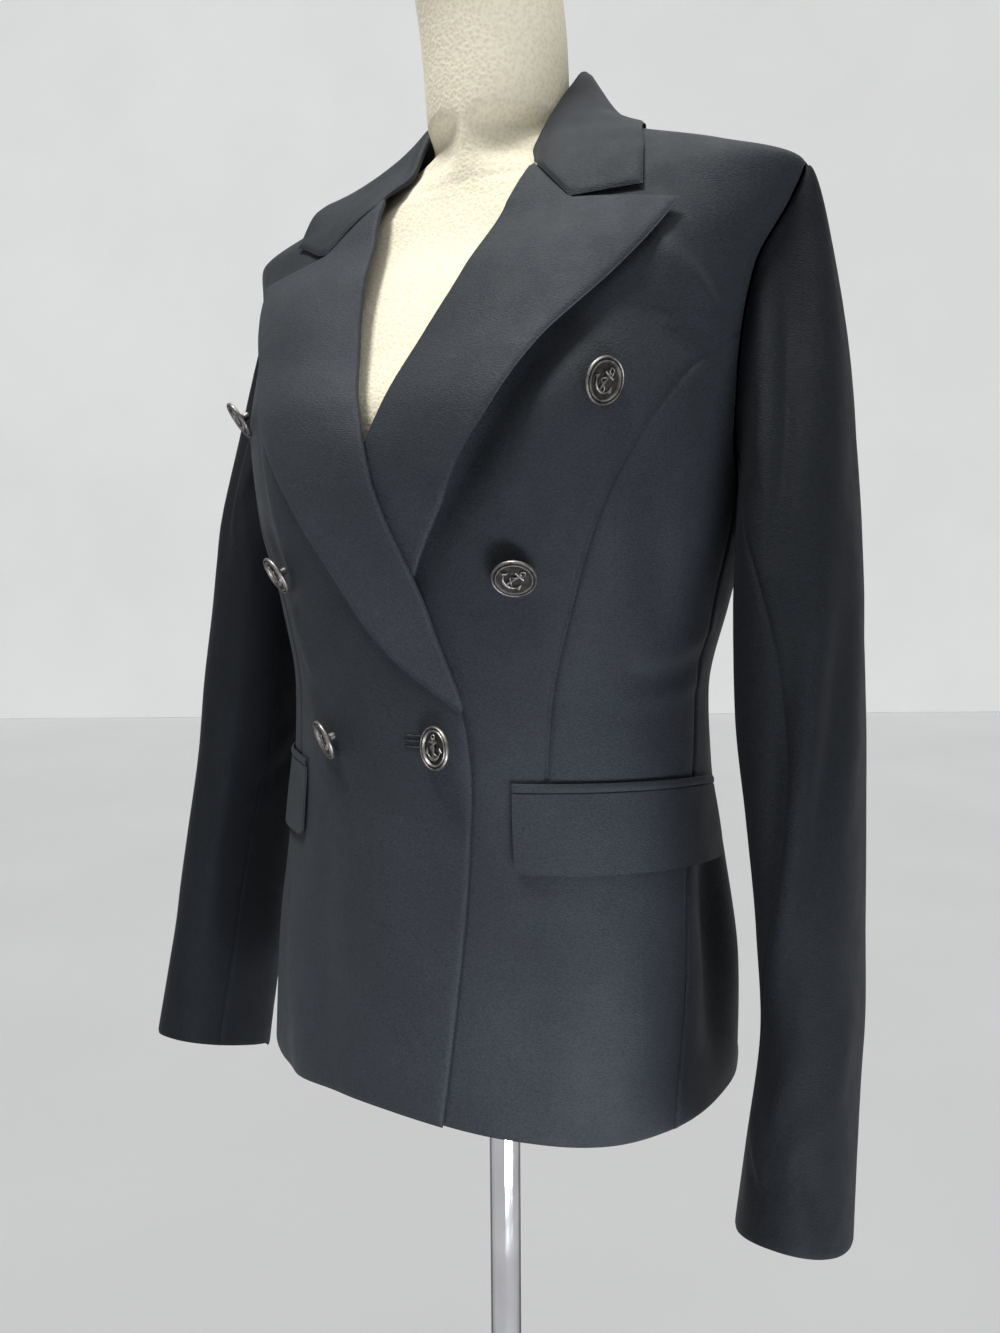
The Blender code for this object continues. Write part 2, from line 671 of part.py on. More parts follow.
def lapel_surface(on_top):
    """The lapel over its front: u is the share from the roll line, v the share up from the break."""
    grid, shares, along = lapel_grid()

    def at(u, v):
        rows = np.interp(v, along, np.arange(len(along)))
        columns = np.interp(u, shares, np.arange(len(shares)))
        r = np.clip(np.floor(rows).astype(int), 0, len(along) - 2)
        c = np.clip(np.floor(columns).astype(int), 0, len(shares) - 2)
        fr, fc = (rows - r)[..., None], (columns - c)[..., None]
        low = grid[c, r] * (1 - fc) + grid[c + 1, r] * fc
        high = grid[c, r + 1] * (1 - fc) + grid[c + 1, r + 1] * fc
        return low * (1 - fr) + high * fr

    def surface(u, v):
        flat = at(u, v)
        reach, height = flat[..., 0], flat[..., 1]
        lift = CLOTH + LAPEL_REST + LAPEL_LIFT_EDGE * np.sin(np.pi / 2 * np.clip(u, 0, 1)) * v
        if on_top:
            lift = lift + overlap_lift(reach, height)
        return lifted(angle_at(reach, height), height, lift)

    return surface, shares, along


def inner_by_normals(outer, thickness):
    """The wall's other face, from normals averaged on the grid itself."""
    along_u = np.gradient(outer, axis=0)
    along_v = np.gradient(outer, axis=1)
    normal = np.cross(along_u, along_v)
    return outer - normal / np.linalg.norm(normal, axis=-1, keepdims=True) * thickness


def make_lapels(look):
    for side, on_top in (("left", False), ("right", True)):
        surface, shares, along = lapel_surface(on_top)
        u, v = np.meshgrid(shares, along, indexing="ij")
        outer = surface(u, v)
        shell(f"{side}_lapel", outer, inner_by_normals(outer, CLOTH), look, mirror=on_top)


def clear_of_shoulders(points, clearance, strength):
    """Points nearer the torso than the clearance are moved out to it, by a share of the way."""

    def outside(p):
        height = np.clip(p[..., 2], SECTIONS[0].height, NECK_SIDE)
        front = p[..., 1] < 0
        depth = np.where(
            front, smooth(SECTIONS, "front_depth", height), smooth(SECTIONS, "back_depth", height)
        )
        power = smooth(SECTIONS, "front_power", height)
        across = np.abs(p[..., 0]) / smooth(SECTIONS, "half_width", height)
        size = (across**power + (np.abs(p[..., 1]) / depth) ** power) ** (1 / power)
        return size - 1 + 25 * np.maximum(p[..., 2] - NECK_SIDE, 0.0)

    moved = points.copy()
    for _ in range(6):
        value = outside(moved)
        slope = np.stack(
            [
                (outside(moved + step) - outside(moved - step)) / (2 * DERIVATIVE)
                for step in np.eye(3) * DERIVATIVE
            ],
            axis=-1,
        )
        size = np.linalg.norm(slope, axis=-1)
        need = np.maximum(clearance - value / size, 0.0) * strength
        moved = moved + slope / size[..., None] * need[..., None] * 0.8
    return moved


def collar_station(share):
    """(fold, edge) of the collar at signed shares: 0 is the nape, 1 the wearer's left end."""
    side = np.where(share < 0, -1.0, 1.0)
    at = np.abs(share)
    fold = np.stack([smooth(COLLAR, f"fold_{axis}", at) for axis in "xyz"], axis=-1)
    edge = np.stack([smooth(COLLAR, f"edge_{axis}", at) for axis in "xyz"], axis=-1)
    fold[..., 0] *= side
    edge[..., 0] *= side
    return fold, edge


def collar_end(share):
    """The collar's front end, along the gorge to the notch and on to its corner."""
    places = (0.0, 0.42, 1.0)
    corner = COLLAR[-1]
    reach = np.interp(share, places, (0.0549, NOTCH_REACH + 0.0001, corner.edge_x))
    height = np.interp(share, places, (GORGE_HEIGHT + 0.0006, NOTCH_HEIGHT + 0.0007, corner.edge_z))
    return lifted(angle_at(reach, height), height, CLOTH + LAPEL_REST + 0.0012 * share)


FOLD_TURNS = (180.0, 120.0, 60.0)
COLLAR_FALL = (0.08, 0.24, 0.42, 0.70, 1.0)
COLLAR_STATIONS = 31
FOLD_DROP = 0.004


def collar_columns(shares):
    """Across the collar at some shares: behind the fold, over it and down to the edge."""
    fold, edge = collar_station(shares)
    out = edge - fold
    out[:, 2] = 0
    out /= np.linalg.norm(out, axis=1, keepdims=True)
    near_end = ease(np.abs(shares), 0.80, 1.0)[:, None]
    radius = FOLD_RADIUS * (1 - 0.55 * near_end)
    up = np.array([0.0, 0.0, 1.0])
    centre = fold - up * radius
    columns = [centre - out * radius - up * FOLD_DROP * (1 - 0.8 * near_end)]
    for turn in np.radians(FOLD_TURNS):
        columns.append(centre + radius * (out * math.cos(turn) + up * math.sin(turn)))
    for fall in COLLAR_FALL:
        point = fold * (1 - fall) + edge * fall
        columns.append(point + out * radius * (1 - fall))
    return np.stack(columns), fold


def collar_rows(shares):
    """The collar's outer face, its front ends brought onto the gorge and the notch."""
    grid, _ = collar_columns(shares)
    tips, folds = collar_columns(np.array([1.0, -1.0]))
    bends = len(FOLD_TURNS) + 1
    falls = np.array((0.0,) * bends + COLLAR_FALL)
    ends = collar_end(falls)[:, None] * np.array([(1, 1, 1), (-1, 1, 1)])[None]
    ends[:bends] += tips[:bends] - folds[None]
    side = (shares < 0).astype(int)
    weight = ease(np.abs(shares), 0.78, 1.0)[None, :, None]
    return grid + weight * (ends - tips)[:, side]


def collar_grid():
    grid = collar_rows(np.linspace(1, -1, COLLAR_STATIONS))
    bends = len(FOLD_TURNS) + 1
    strength = ease(np.array(COLLAR_FALL), 0.0, 0.40)[:, None]
    cleared = clear_of_shoulders(grid[bends:], COLLAR_CLEAR + CLOTH, strength)
    return np.concatenate([grid[:bends], cleared])


def make_collar(look):
    outer = collar_grid()
    shell("collar", outer, inner_by_normals(outer, CLOTH), look)


def stand_grid():
    """The band between the neckline and the collar's fold, its face towards the neck."""
    shares = np.linspace(1, -1, COLLAR_STATIONS)
    shares = shares[np.abs(shares) < STAND_END][::-1]
    top = collar_rows(shares)[0]
    top[:, 2] -= 2 * SEAM + STAND_CLOTH
    at = np.abs(shares)
    angle = np.maximum(180 - at * 90 / 0.66, 90)
    neck_height = np.interp(at, (0.0, 0.66, 1.0), (NECK_BACK, NECK_SIDE, GORGE_HEIGHT))
    front_angle = angle_at(smooth(OPENING, "reach", neck_height), neck_height)
    foot = body_point(np.where(at > 0.66, front_angle, angle), neck_height)
    foot[:, 0] *= np.sign(shares + 1e-9)
    inward = top - foot
    inward /= np.linalg.norm(inward, axis=1, keepdims=True)
    foot = foot + inward * 5 * SEAM
    return np.stack([top, (top + foot) / 2, foot])


# --- sleeves -----------------------------------------------------------------------------


def sleeve_ring(turn, height):
    """A point of the free sleeve; turn runs from the outside through the front."""
    angle = 2 * np.pi * turn
    cosine, sine = np.cos(angle), np.sin(angle)
    size = (np.abs(cosine) ** SLEEVE_POWER + np.abs(sine) ** SLEEVE_POWER) ** (-1 / SLEEVE_POWER)
    across = smooth(SLEEVE, "half_width", height) * cosine * size
    forward = smooth(SLEEVE, "half_depth", height) * sine * size
    low = np.clip((CAP_HEIGHT - height) / (CAP_HEIGHT - CUFF_HEIGHT), 0.0, 1.0)
    x = smooth(SLEEVE, "x_centre", height) + across
    y = smooth(SLEEVE, "y_centre", height) - forward
    return np.stack([x, y, height + CUFF_TILT * low**2 * forward], axis=-1)


def sleeve_cap(turn, share):
    """From the armhole (share 0) over the cap to the free sleeve (share 1)."""
    count = len(ARMHOLE)
    angle, height = armhole_at(turn * count)
    middle_angle, middle_height = 97.0, 1.215
    start = lifted(angle, height, REST + 0 * angle)
    inward = lifted(angle * 0.98 + middle_angle * 0.02, height * 0.98 + middle_height * 0.02, REST + 0 * angle)
    inward = inward - start
    start = start + inward / np.linalg.norm(inward, axis=-1, keepdims=True) * SEAM
    normal = normals_of(torso, angle, height)
    under = (1 - np.cos(2 * np.pi * turn)) / 2
    down = np.array([0.0, 0.0, -1.0])
    away = normal * (1 - 0.65 * under**3)[..., None] + down * (0.12 + 0.9 * under**3)[..., None]
    top = np.exp(-((np.mod(turn + 0.5, 1.0) - 0.5) / 0.09) ** 2)
    away = away + np.array([1.0, 0.0, 0.25]) * top[..., None]
    away /= np.linalg.norm(away, axis=-1, keepdims=True)
    end = sleeve_ring(turn, CAP_HEIGHT + 0 * turn)
    lead = sleeve_ring(turn, CAP_HEIGHT - 0.01 + 0 * turn) - end
    lead /= np.linalg.norm(lead, axis=-1, keepdims=True)
    length = np.linalg.norm(end - start, axis=-1)
    first = start + away * (0.002 + 0.105 * length)[..., None]
    second = end - lead * (0.50 * length)[..., None]
    s = share[..., None]
    return (
        start * (1 - s) ** 3
        + 3 * first * s * (1 - s) ** 2
        + 3 * second * s**2 * (1 - s)
        + end * s**3
    )


def sleeve_surface(turn, place):
    """place 0 to 1 is the cap, 1 to 2 the free sleeve down to the cuff."""
    turn, place = np.broadcast_arrays(np.asarray(turn, float), np.asarray(place, float))
    cap = sleeve_cap(turn, np.clip(place, 0.0, 1.0))
    height = CAP_HEIGHT - np.clip(place - 1, 0.0, 1.0) * (CAP_HEIGHT - CUFF_HEIGHT)
    free = sleeve_ring(turn, height)
    return np.where((place < 1)[..., None], cap, free)


CAP_PLACES = (0.0, 0.07, 0.20, 0.42, 0.70)
FREE_STEPS = 11
RING_STEP = 1 / 32  # the armhole's shared points


def sleeve_normals(turn, place):
    step = 1e-3
    du = sleeve_surface(turn + step, place) - sleeve_surface(turn - step, place)
    low = np.maximum(place - step, 0.0)
    high = np.minimum(place + step, 2.0)
    dv = sleeve_surface(turn, high) - sleeve_surface(turn, low)
    normal = np.cross(du, dv)
    return normal / np.linalg.norm(normal, axis=-1, keepdims=True)


def sleeve_columns(start, end):
    """Turns across a sleeve piece, on the armhole's shared points at the top."""
    first, last = start[0], end[0]
    count = round((last - first) / RING_STEP)
    share = np.linspace(0, 1, count + 1)[:, None]
    gap = SEAM / 0.29
    return (1 - share) * (start + gap) + share * (end - gap)


def make_sleeves(look):
    places = np.concatenate([CAP_PLACES, np.linspace(1, 2, FREE_STEPS)])
    height = np.interp(places, (0, 1, 2), (1.140, CAP_HEIGHT, CUFF_HEIGHT))
    hindarm = HINDARM_TURN / 360 + 0 * height
    for side, mirror in (("left", False), ("right", True)):
        forearm = smooth(FOREARM_SEAMS[side], "turn", height) / 360
        pieces = {"top_sleeve": (hindarm - 1, forearm), "under_sleeve": (forearm, hindarm)}
        for piece, (start, end) in pieces.items():
            turn = sleeve_columns(start, end)
            place = places[None, :] + 0 * turn
            outer = sleeve_surface(turn, place)
            inner = outer - sleeve_normals(turn, place) * CLOTH
            shell(f"{side}_{piece}", outer, inner, look, mirror=mirror)


# --- pockets and buttons -----------------------------------------------------------------


def pocket_lift(angle, height, on_top):
    reach = body_point(angle, height)[..., 0]
    return overlap_lift(reach, height) if on_top else 0.0 * reach


def make_pockets(look):
    columns = 11
    angle = np.linspace(POCKET_START, POCKET_END, columns)[:, None]
    share = pocket_share(angle)
    welt_top = WELT_TOP - WELT_DROP * share**2
    for side, on_top in (("left", False), ("right", True)):
        height = np.concatenate([welt_top - WELT_HEIGHT, welt_top], axis=1)
        wide = angle + 0 * height
        rest = POCKET_REST + pocket_lift(wide, height, on_top)
        outer = lifted(wide, height, rest + WELT_CLOTH)
        inner = lifted(wide, height, rest)
        shell(f"{side}_pocket_welt", outer, inner, look, mirror=on_top)
        along = (angle - POCKET_START) / (POCKET_END - POCKET_START) * 0.155
        from_end = np.minimum(along, 0.155 - along)
        round_off = FLAP_CORNER - np.clip(from_end, 0, FLAP_CORNER)
        corner = FLAP_CORNER - np.sqrt(FLAP_CORNER**2 - round_off**2)
        foot = FLAP_FOOT - FLAP_FOOT_DROP * share**1.5 + corner * 0.8
        top = welt_top - WELT_HEIGHT - SEAM
        down = np.linspace(0, 1, 5)[None, :]
        height = foot + (top - foot) * down
        wide = angle + 0 * height
        hang = FLAP_STAND_OFF * (1 - down) ** 1.5 + pocket_lift(wide, height, on_top)
        outer = lifted(wide, height, POCKET_REST + FLAP_CLOTH + hang)
        inner = lifted(wide, height, POCKET_REST + hang)
        shell(f"{side}_pocket_flap", outer, inner, look, mirror=on_top)


def turned(name, profile, steps, look):
    """A profile of (radius, height), top to bottom, turned about Z with a Screw modifier."""
    mesh = bpy.data.meshes.new(name)
    mesh.from_pydata(
        [(radius, 0.0, height) for radius, height in profile],
        [(i, i + 1) for i in range(len(profile) - 1)],
        [],
    )
    made = add_object(name, mesh, look)
    screw = made.modifiers.new("Turn", "SCREW")
    screw.axis = "Z"
    screw.steps = steps
    screw.render_steps = steps
    screw.use_merge_vertices = True
    screw.merge_threshold = 0.00001
    screw.use_smooth_shade = True
    return made


def button_profile():
    """Domed face with a raised rim, a hollow back and a shank; the back's middle is at 0."""
    r = BUTTON_RADIUS
    return (
        (0.0, 0.0020),
        (0.0098, 0.0014),
        (0.0106, 0.0026),
        (0.0120, 0.0024),
        (r, 0.0012),
        (0.0119, 0.0002),
        (SHANK_RADIUS, -0.0006),
        (SHANK_RADIUS, -0.0060),
        (0.0, -0.0060),
    )


def make_buttons(look):
    for row in BUTTONS:
        for side, on_top in (("left", False), ("right", True)):
            angle = angle_at(np.array(row.reach), np.array(row.height))
            at_front = front_surface(on_top)
            under = front_surface(on_top)(angle, np.array(row.height))
            covered = side == "left" and row.name == "bottom"
            if covered:
                angle = angle_at(np.array(-row.reach), np.array(row.height))
                under = front_surface(True)(angle, np.array(row.height)) * (-1, 1, 1)
            turn = math.radians(row.left_turn if side == "left" else row.right_turn)
            rise = math.radians(row.left_rise if side == "left" else row.right_rise)
            axis = Vector(
                (math.sin(turn) * math.cos(rise), -math.cos(turn) * math.cos(rise), math.sin(rise))
            )
            point = Vector(under)
            normal = Vector(normals_of(at_front, angle, np.array(row.height)))
            if covered:
                normal.x = -normal.x
            if side == "right":
                point.x, normal.x = -point.x, -normal.x
            tilt = normal.angle(axis)
            sink = row.left_sink if side == "left" else 0.0
            seat = point + normal * (REST + SHANK_RADIUS * math.sin(tilt) - sink)
            made = turned(f"{side}_{row.name}_button", button_profile(), BUTTON_STEPS, look)
            made.location = seat + axis * 0.0060
            made.rotation_mode = "QUATERNION"
            made.rotation_quaternion = Vector((0, 0, 1)).rotation_difference(axis)


# --- dress form --------------------------------------------------------------------------


def form_point(angle, height):
    angle = np.radians(angle)
    cosine, sine = np.cos(angle), np.sin(angle)
    front_power = smooth(FORM, "front_power", height)
    power = np.where(cosine > 0, front_power, smooth(FORM, "back_power", height))
    size = (np.abs(cosine) ** power + np.abs(sine) ** power) ** (-1 / power)
    front, back = smooth(FORM, "front_depth", height), smooth(FORM, "back_depth", height)
    depth = np.where(cosine > 0, front, back)
    x = smooth(FORM, "half_width", height) * sine * size
    y = smooth(FORM, "y_centre", height) - depth * cosine * size
    return np.stack([x, y, height + 0 * x], axis=-1)


def make_form(padding, metal, base):
    heights = np.array([ring.height for ring in FORM])
    angles = np.arange(FORM_SIDES) * 360 / FORM_SIDES
    points = form_point(angles[None, :], heights[:, None] + 0 * angles[None, :])
    index = np.arange(points.shape[0] * FORM_SIDES).reshape(-1, FORM_SIDES)
    around = np.roll(index, -1, axis=1)
    faces = [
        (index[r, c], around[r, c], around[r + 1, c], index[r + 1, c])
        for r in range(len(heights) - 1)
        for c in range(FORM_SIDES)
    ]
    faces += [tuple(reversed(index[0])), tuple(index[-1])]
    faces = [[int(k) for k in face] for face in faces]
    mesh = bpy.data.meshes.new("form_torso")
    mesh.from_pydata([tuple(p) for p in points.reshape(-1, 3)], [], faces)
    mesh.shade_smooth()
    mesh.set_sharp_from_angle(angle=math.radians(50))
    add_object("form_torso", mesh, padding)
    top = FORM[0].height - SEAM
    socket = (
        (0.0, top),
        (SOCKET_RADIUS * 1.6, top),
        (SOCKET_RADIUS * 1.6, top - 0.004),
        (SOCKET_RADIUS, top - 0.006),
        (SOCKET_RADIUS, top - SOCKET_HEIGHT),
        (0.0, top - SOCKET_HEIGHT),
    )
    turned("form_socket", socket, TURN_STEPS, metal)
    hub_top = FOOT_THICKNESS + HUB_HEIGHT
    pole = (
        (0.0, top - SOCKET_HEIGHT - SEAM),
        (POLE_RADIUS, top - SOCKET_HEIGHT - SEAM),
        (POLE_RADIUS, hub_top + SEAM),
        (0.0, hub_top + SEAM),
    )
    turned("form_pole", pole, TURN_STEPS, metal)
    foot = (
        (0.0, hub_top),
        (HUB_RADIUS, hub_top),
        (HUB_RADIUS, FOOT_THICKNESS + 0.004),
        (HUB_RADIUS + 0.006, FOOT_THICKNESS),
        (FOOT_RADIUS - 0.003, FOOT_THICKNESS),
        (FOOT_RADIUS, FOOT_THICKNESS - 0.003),
        (FOOT_RADIUS, 0.0),
        (0.0, 0.0),
    )
    turned("form_base", foot, 2 * TURN_STEPS, base)


def make_stand(look):
    outer = stand_grid()
    shell("collar_stand", outer, inner_by_normals(outer, STAND_CLOTH), look)


# --- the whole object --------------------------------------------------------------------

COLLECTION = "DoubleBreastedBlazer"


def main():
    for old in list(bpy.data.objects):
        bpy.data.objects.remove(old, do_unlink=True)
    collection = bpy.data.collections.new(COLLECTION)
    bpy.context.scene.collection.children.link(collection)
    suiting = material("navy_suiting", (0.022, 0.026, 0.033), 0.55)
    pewter = material("button_pewter", (0.33, 0.32, 0.30), 0.35, 1.0)
    velour = material("form_velour", (0.78, 0.74, 0.64), 0.95)
    chrome = material("chrome", (0.75, 0.75, 0.77), 0.08, 1.0)
    steel = material("base_steel", (0.60, 0.60, 0.62), 0.30, 1.0)
    make_fronts(suiting)
    make_sides_and_backs(suiting)
    make_lapels(suiting)
    make_collar(suiting)
    make_stand(suiting)
    make_sleeves(suiting)
    make_pockets(suiting)
    make_buttons(pewter)
    make_form(velour, chrome, steel)


main()
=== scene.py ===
import math
from collections import namedtuple

import bmesh
import bpy
import numpy as np
from mathutils import Matrix, Vector
from mathutils.kdtree import KDTree


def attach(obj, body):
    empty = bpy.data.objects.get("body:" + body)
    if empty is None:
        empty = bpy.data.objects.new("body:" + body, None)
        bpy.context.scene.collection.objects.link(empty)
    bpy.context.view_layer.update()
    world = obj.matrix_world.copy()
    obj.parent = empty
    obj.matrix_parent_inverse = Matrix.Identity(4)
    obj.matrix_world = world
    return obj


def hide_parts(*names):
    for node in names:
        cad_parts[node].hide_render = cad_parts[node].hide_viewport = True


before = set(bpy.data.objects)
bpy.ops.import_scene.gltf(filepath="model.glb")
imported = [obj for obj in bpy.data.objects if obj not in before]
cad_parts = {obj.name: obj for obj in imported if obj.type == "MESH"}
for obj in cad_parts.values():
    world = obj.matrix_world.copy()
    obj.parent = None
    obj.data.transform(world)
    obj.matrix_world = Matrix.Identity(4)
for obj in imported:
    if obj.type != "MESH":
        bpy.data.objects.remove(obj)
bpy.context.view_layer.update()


def table(columns, *rows):
    """Rows with named columns."""
    kind = namedtuple("Row", columns)
    return tuple(kind(*row) for row in rows)


# Row frame: metres, +Z up, +X to the wearer's left, -Y to the wearer's front. The garment's
# tables are those of its solids; the cloth here is finer, and gets its folds and seams.
MM = 0.001
SIDES = ((1, "left"), (-1, "right"))
CLOTH = 0.0014  # one wall of cloth with its interlining
SEAM = 0.00003  # gap between two pieces at a seam
REST = 0.0004  # gap under a piece that lies on another
LAPEL_REST = 0.0010
POCKET_REST = 0.0007
SLEEVE_REST = 0.00004
DERIVATIVE = 1e-4  # step for surface normals
SLEEVE_DERIVATIVE = 1e-3


# The torso of the blazer, outer face of the cloth, a ring for each height.
SECTIONS = table(
    "height half_width front_depth back_depth front_power back_power",
    (0.745, 0.163, 0.147, 0.144, 2.15, 2.15), (0.83, 0.1605, 0.1385, 0.127, 2.15, 2.2),
    (0.9, 0.1515, 0.1305, 0.112, 2.15, 2.2), (0.96, 0.144, 0.127, 0.095, 2.15, 2.2),
    (1.005, 0.1425, 0.1255, 0.083, 2.15, 2.25), (1.06, 0.1535, 0.129, 0.09, 2.15, 2.4),
    (1.115, 0.1645, 0.1405, 0.1, 2.2, 2.7), (1.165, 0.167, 0.146, 0.106, 2.2, 3.0),
    (1.21, 0.17, 0.1295, 0.109, 2.2, 3.2), (1.25, 0.177, 0.107, 0.1085, 2.2, 3.0),
    (1.285, 0.1935, 0.073, 0.101, 2.2, 2.6), (1.303, 0.1976, 0.061, 0.094, 2.2, 2.4),
    (1.322, 0.157, 0.0455, 0.087, 2.2, 2.3), (1.34, 0.104, 0.028, 0.079, 2.2, 2.2),
    (1.356, 0.066, 0.013, 0.07, 2.2, 2.2), (1.364, 0.044, 0.006, 0.065, 2.2, 2.2),
)
SHOULDER_TIP = 1.303
NECK_SIDE = 1.356
NECK_BACK = 1.352

# How far the front's free edge stands past the centre line: front edge, roll line, neckline.
OPENING = table(
    "height reach",
    (0.745, -0.044), (0.8, -0.048), (0.86, -0.0512), (0.92, -0.0526), (0.96, -0.0528),
    (0.985, -0.0508), (1.003, -0.0478), (1.04, -0.036), (1.08, -0.0235), (1.115, -0.0105),
    (1.15, 0.0003), (1.18, 0.0123), (1.21, 0.0238), (1.24, 0.0343), (1.27, 0.0433), (1.3, 0.051),
    (1.315, 0.0545), (1.33, 0.0585), (1.345, 0.0635), (1.356, 0.066),
)
BREAK_HEIGHT = 1.003  # where the lapel starts to roll
GORGE_HEIGHT = 1.315  # where the collar meets the roll line

# The front leans in towards the chest beside the roll line, by this much over this width.
LEANS = table(
    "height depth",
    (1.13, 0.0), (1.15, 0.003), (1.17, 0.008), (1.2, 0.01), (1.235, 0.0115), (1.255, 0.0095),
    (1.275, 0.0045), (1.29, 0.0),
)
LEAN_WIDTH = 0.060
LEAN_LIMIT = 1.3  # the lean's share grows to this past the edge

# Seams as angles round the torso: 0 is the centre front, 90 the side, 180 the centre back.
PRINCESS_SEAM = table(
    "height angle",
    (0.745, 36.5), (0.961, 37.8), (0.99, 38.4), (1.044, 40.4), (1.074, 42.0), (1.101, 44.2),
    (1.128, 48.2), (1.154, 54.0), (1.172, 59.0), (1.19, 65.0), (1.204, 74.0), (1.214, 81.9),
)
SIDE_SEAM = table(
    "height angle",
    (0.745, 66.5), (0.785, 68.2), (0.85, 71.6), (0.903, 76.0), (0.95, 82.5), (0.99, 85.5),
    (1.03, 86.0), (1.08, 85.0), (1.136, 86.0),
)
BACK_SEAM = table(
    "height angle",
    (0.745, 140.0), (0.85, 138.0), (0.96, 136.0), (1.06, 136.0), (1.12, 133.0), (1.165, 126.5),
    (1.19, 118.0),
)

# The armhole, once round from the shoulder through the front, the underarm and the back.
ARMHOLE = table(
    "angle height",
    (90.0, 1.303), (84.0, 1.286), (81.8, 1.264), (81.5, 1.239), (81.9, 1.214), (82.3, 1.185),
    (83.3, 1.157), (86.0, 1.136), (94.0, 1.13), (104.0, 1.138), (113.0, 1.16), (118.0, 1.19),
    (119.0, 1.222), (115.0, 1.255), (106.0, 1.283), (97.0, 1.298),
)
PRINCESS_NOTCH, SIDE_NOTCH, BACK_NOTCH = 4, 7, 11
ARMHOLE_STEP = 0.125
HEM_SIDE, HEM_FRONT_RISE, HEM_BACK_RISE = 0.755, 0.014, 0.005

# The wearer's right front lies on the left one and on its lapel.
OVERLAP_FULL, OVERLAP_END = 0.060, 0.095  # reach where the lift starts to fade, and ends
OVERLAP_LIFTS = table(
    "height lift",
    (0.745, 0.0026), (0.94, 0.0026), (0.995, 0.0052), (1.13, 0.0056), (1.2, 0.0),
)

# Lapel, flat on the front: distance from the centre line and height of its outer edge.
LAPEL_EDGE = table(
    "height reach",
    (1.003, -0.0472), (1.009, -0.0403), (1.0175, -0.0291), (1.0315, -0.011), (1.054, 0.0095),
    (1.073, 0.0212), (1.09, 0.03), (1.115, 0.0455), (1.145, 0.0623), (1.175, 0.0825),
    (1.205, 0.0999), (1.235, 0.1222), (1.26, 0.138), (1.276, 0.146),
)
NOTCH_REACH, NOTCH_HEIGHT = 0.0868, 1.2846
NOTCH_SHARE = 0.36
LAPEL_LIFT_EDGE = 0.0016

# Collar stations from the nape to the front end: its fold and its outer edge.
COLLAR = table(
    "share fold_x fold_y fold_z edge_x edge_y edge_z",
    (0.0, 0.0, 0.066, 1.3965, 0.0, 0.084, 1.348), (0.25, 0.03, 0.055, 1.399, 0.042, 0.077, 1.349),
    (0.45, 0.0475, 0.03, 1.3975, 0.078, 0.046, 1.348),
    (0.6, 0.052, 0.006, 1.3815, 0.097, 0.012, 1.344),
    (0.75, 0.0495, -0.0135, 1.3605, 0.1085, -0.0195, 1.333),
    (0.88, 0.0464, -0.0334, 1.3345, 0.119, -0.043, 1.317),
    (1.0, 0.0545, -0.054, 1.3155, 0.1255, -0.059, 1.288),
)
COLLAR_CLEAR = 0.0022  # least distance of the collar from the shoulders under it
ABOVE_NECK = 25.0  # how fast the collar counts as clear above the neckline
PUSHES, PUSH_SHARE = 6, 0.8
COLLAR_NOTCH = 0.42  # where the collar's end leaves the lapel
COLLAR_FOOT, COLLAR_END_LIFT = 0.0549, 0.0012
FOLD_RADIUS = 0.0030

# Sleeve rings, from the level where the sleeve hangs free down to the cuff.
SLEEVE = table(
    "height x_centre y_centre half_width half_depth",
    (0.72, 0.2231, -0.064, 0.0291, 0.0469), (0.765, 0.2232, -0.052, 0.027, 0.0485),
    (0.82, 0.2237, -0.0374, 0.0248, 0.0508), (0.88, 0.2185, -0.0263, 0.0258, 0.0539),
    (0.94, 0.2115, -0.0164, 0.0288, 0.0558), (1.0, 0.205, -0.0094, 0.032, 0.0584),
    (1.06, 0.2005, -0.0005, 0.0325, 0.0596), (1.1, 0.1985, 0.0045, 0.031, 0.0605),
)
SLEEVE_POWER = 2.3
CAP_HEIGHT, CUFF_HEIGHT = 1.100, 0.720
CUFF_TILT = 0.42
SLEEVE_TOP = 1.140  # height that the seams' tables give the armhole
ARMHOLE_MIDDLE = (97.0, 1.215)
CAP_TOP_WIDTH, CAP_LEAD = 0.09, 0.40
FOREARM_SEAMS = {
    "left": table(
        "height turn",
        (0.72, 150.0), (0.8, 145.0), (0.845, 127.0), (0.887, 105.5), (0.943, 84.0), (0.985, 76.5),
        (1.027, 82.0), (1.072, 100.0), (1.1, 119.0), (1.14, 146.25),
    ),
    "right": table(
        "height turn",
        (0.72, 154.0), (0.83, 159.0), (0.95, 159.0), (1.06, 154.0), (1.14, 146.25),
    ),
}
HINDARM_TURN = 236.25

# Hip pocket: a welt with a flap under it, from the front across the side seam.
POCKET_START, POCKET_END = 30.0, 98.0
POCKET_LEVEL, POCKET_LENGTH = 0.945, 0.155
WELT_TOP, WELT_DROP, WELT_HEIGHT = 0.9645, 0.0123, 0.0058
FLAP_FOOT, FLAP_FOOT_DROP = 0.9135, 0.0120
FLAP_CORNER = 0.008
WELT_CLOTH, FLAP_CLOTH = 0.0012, 0.0016
FLAP_STAND_OFF = 0.0022
FLAP_WAVE, WELT_PUFF, WELT_DIP = 0.0007, 0.0011, 0.0003

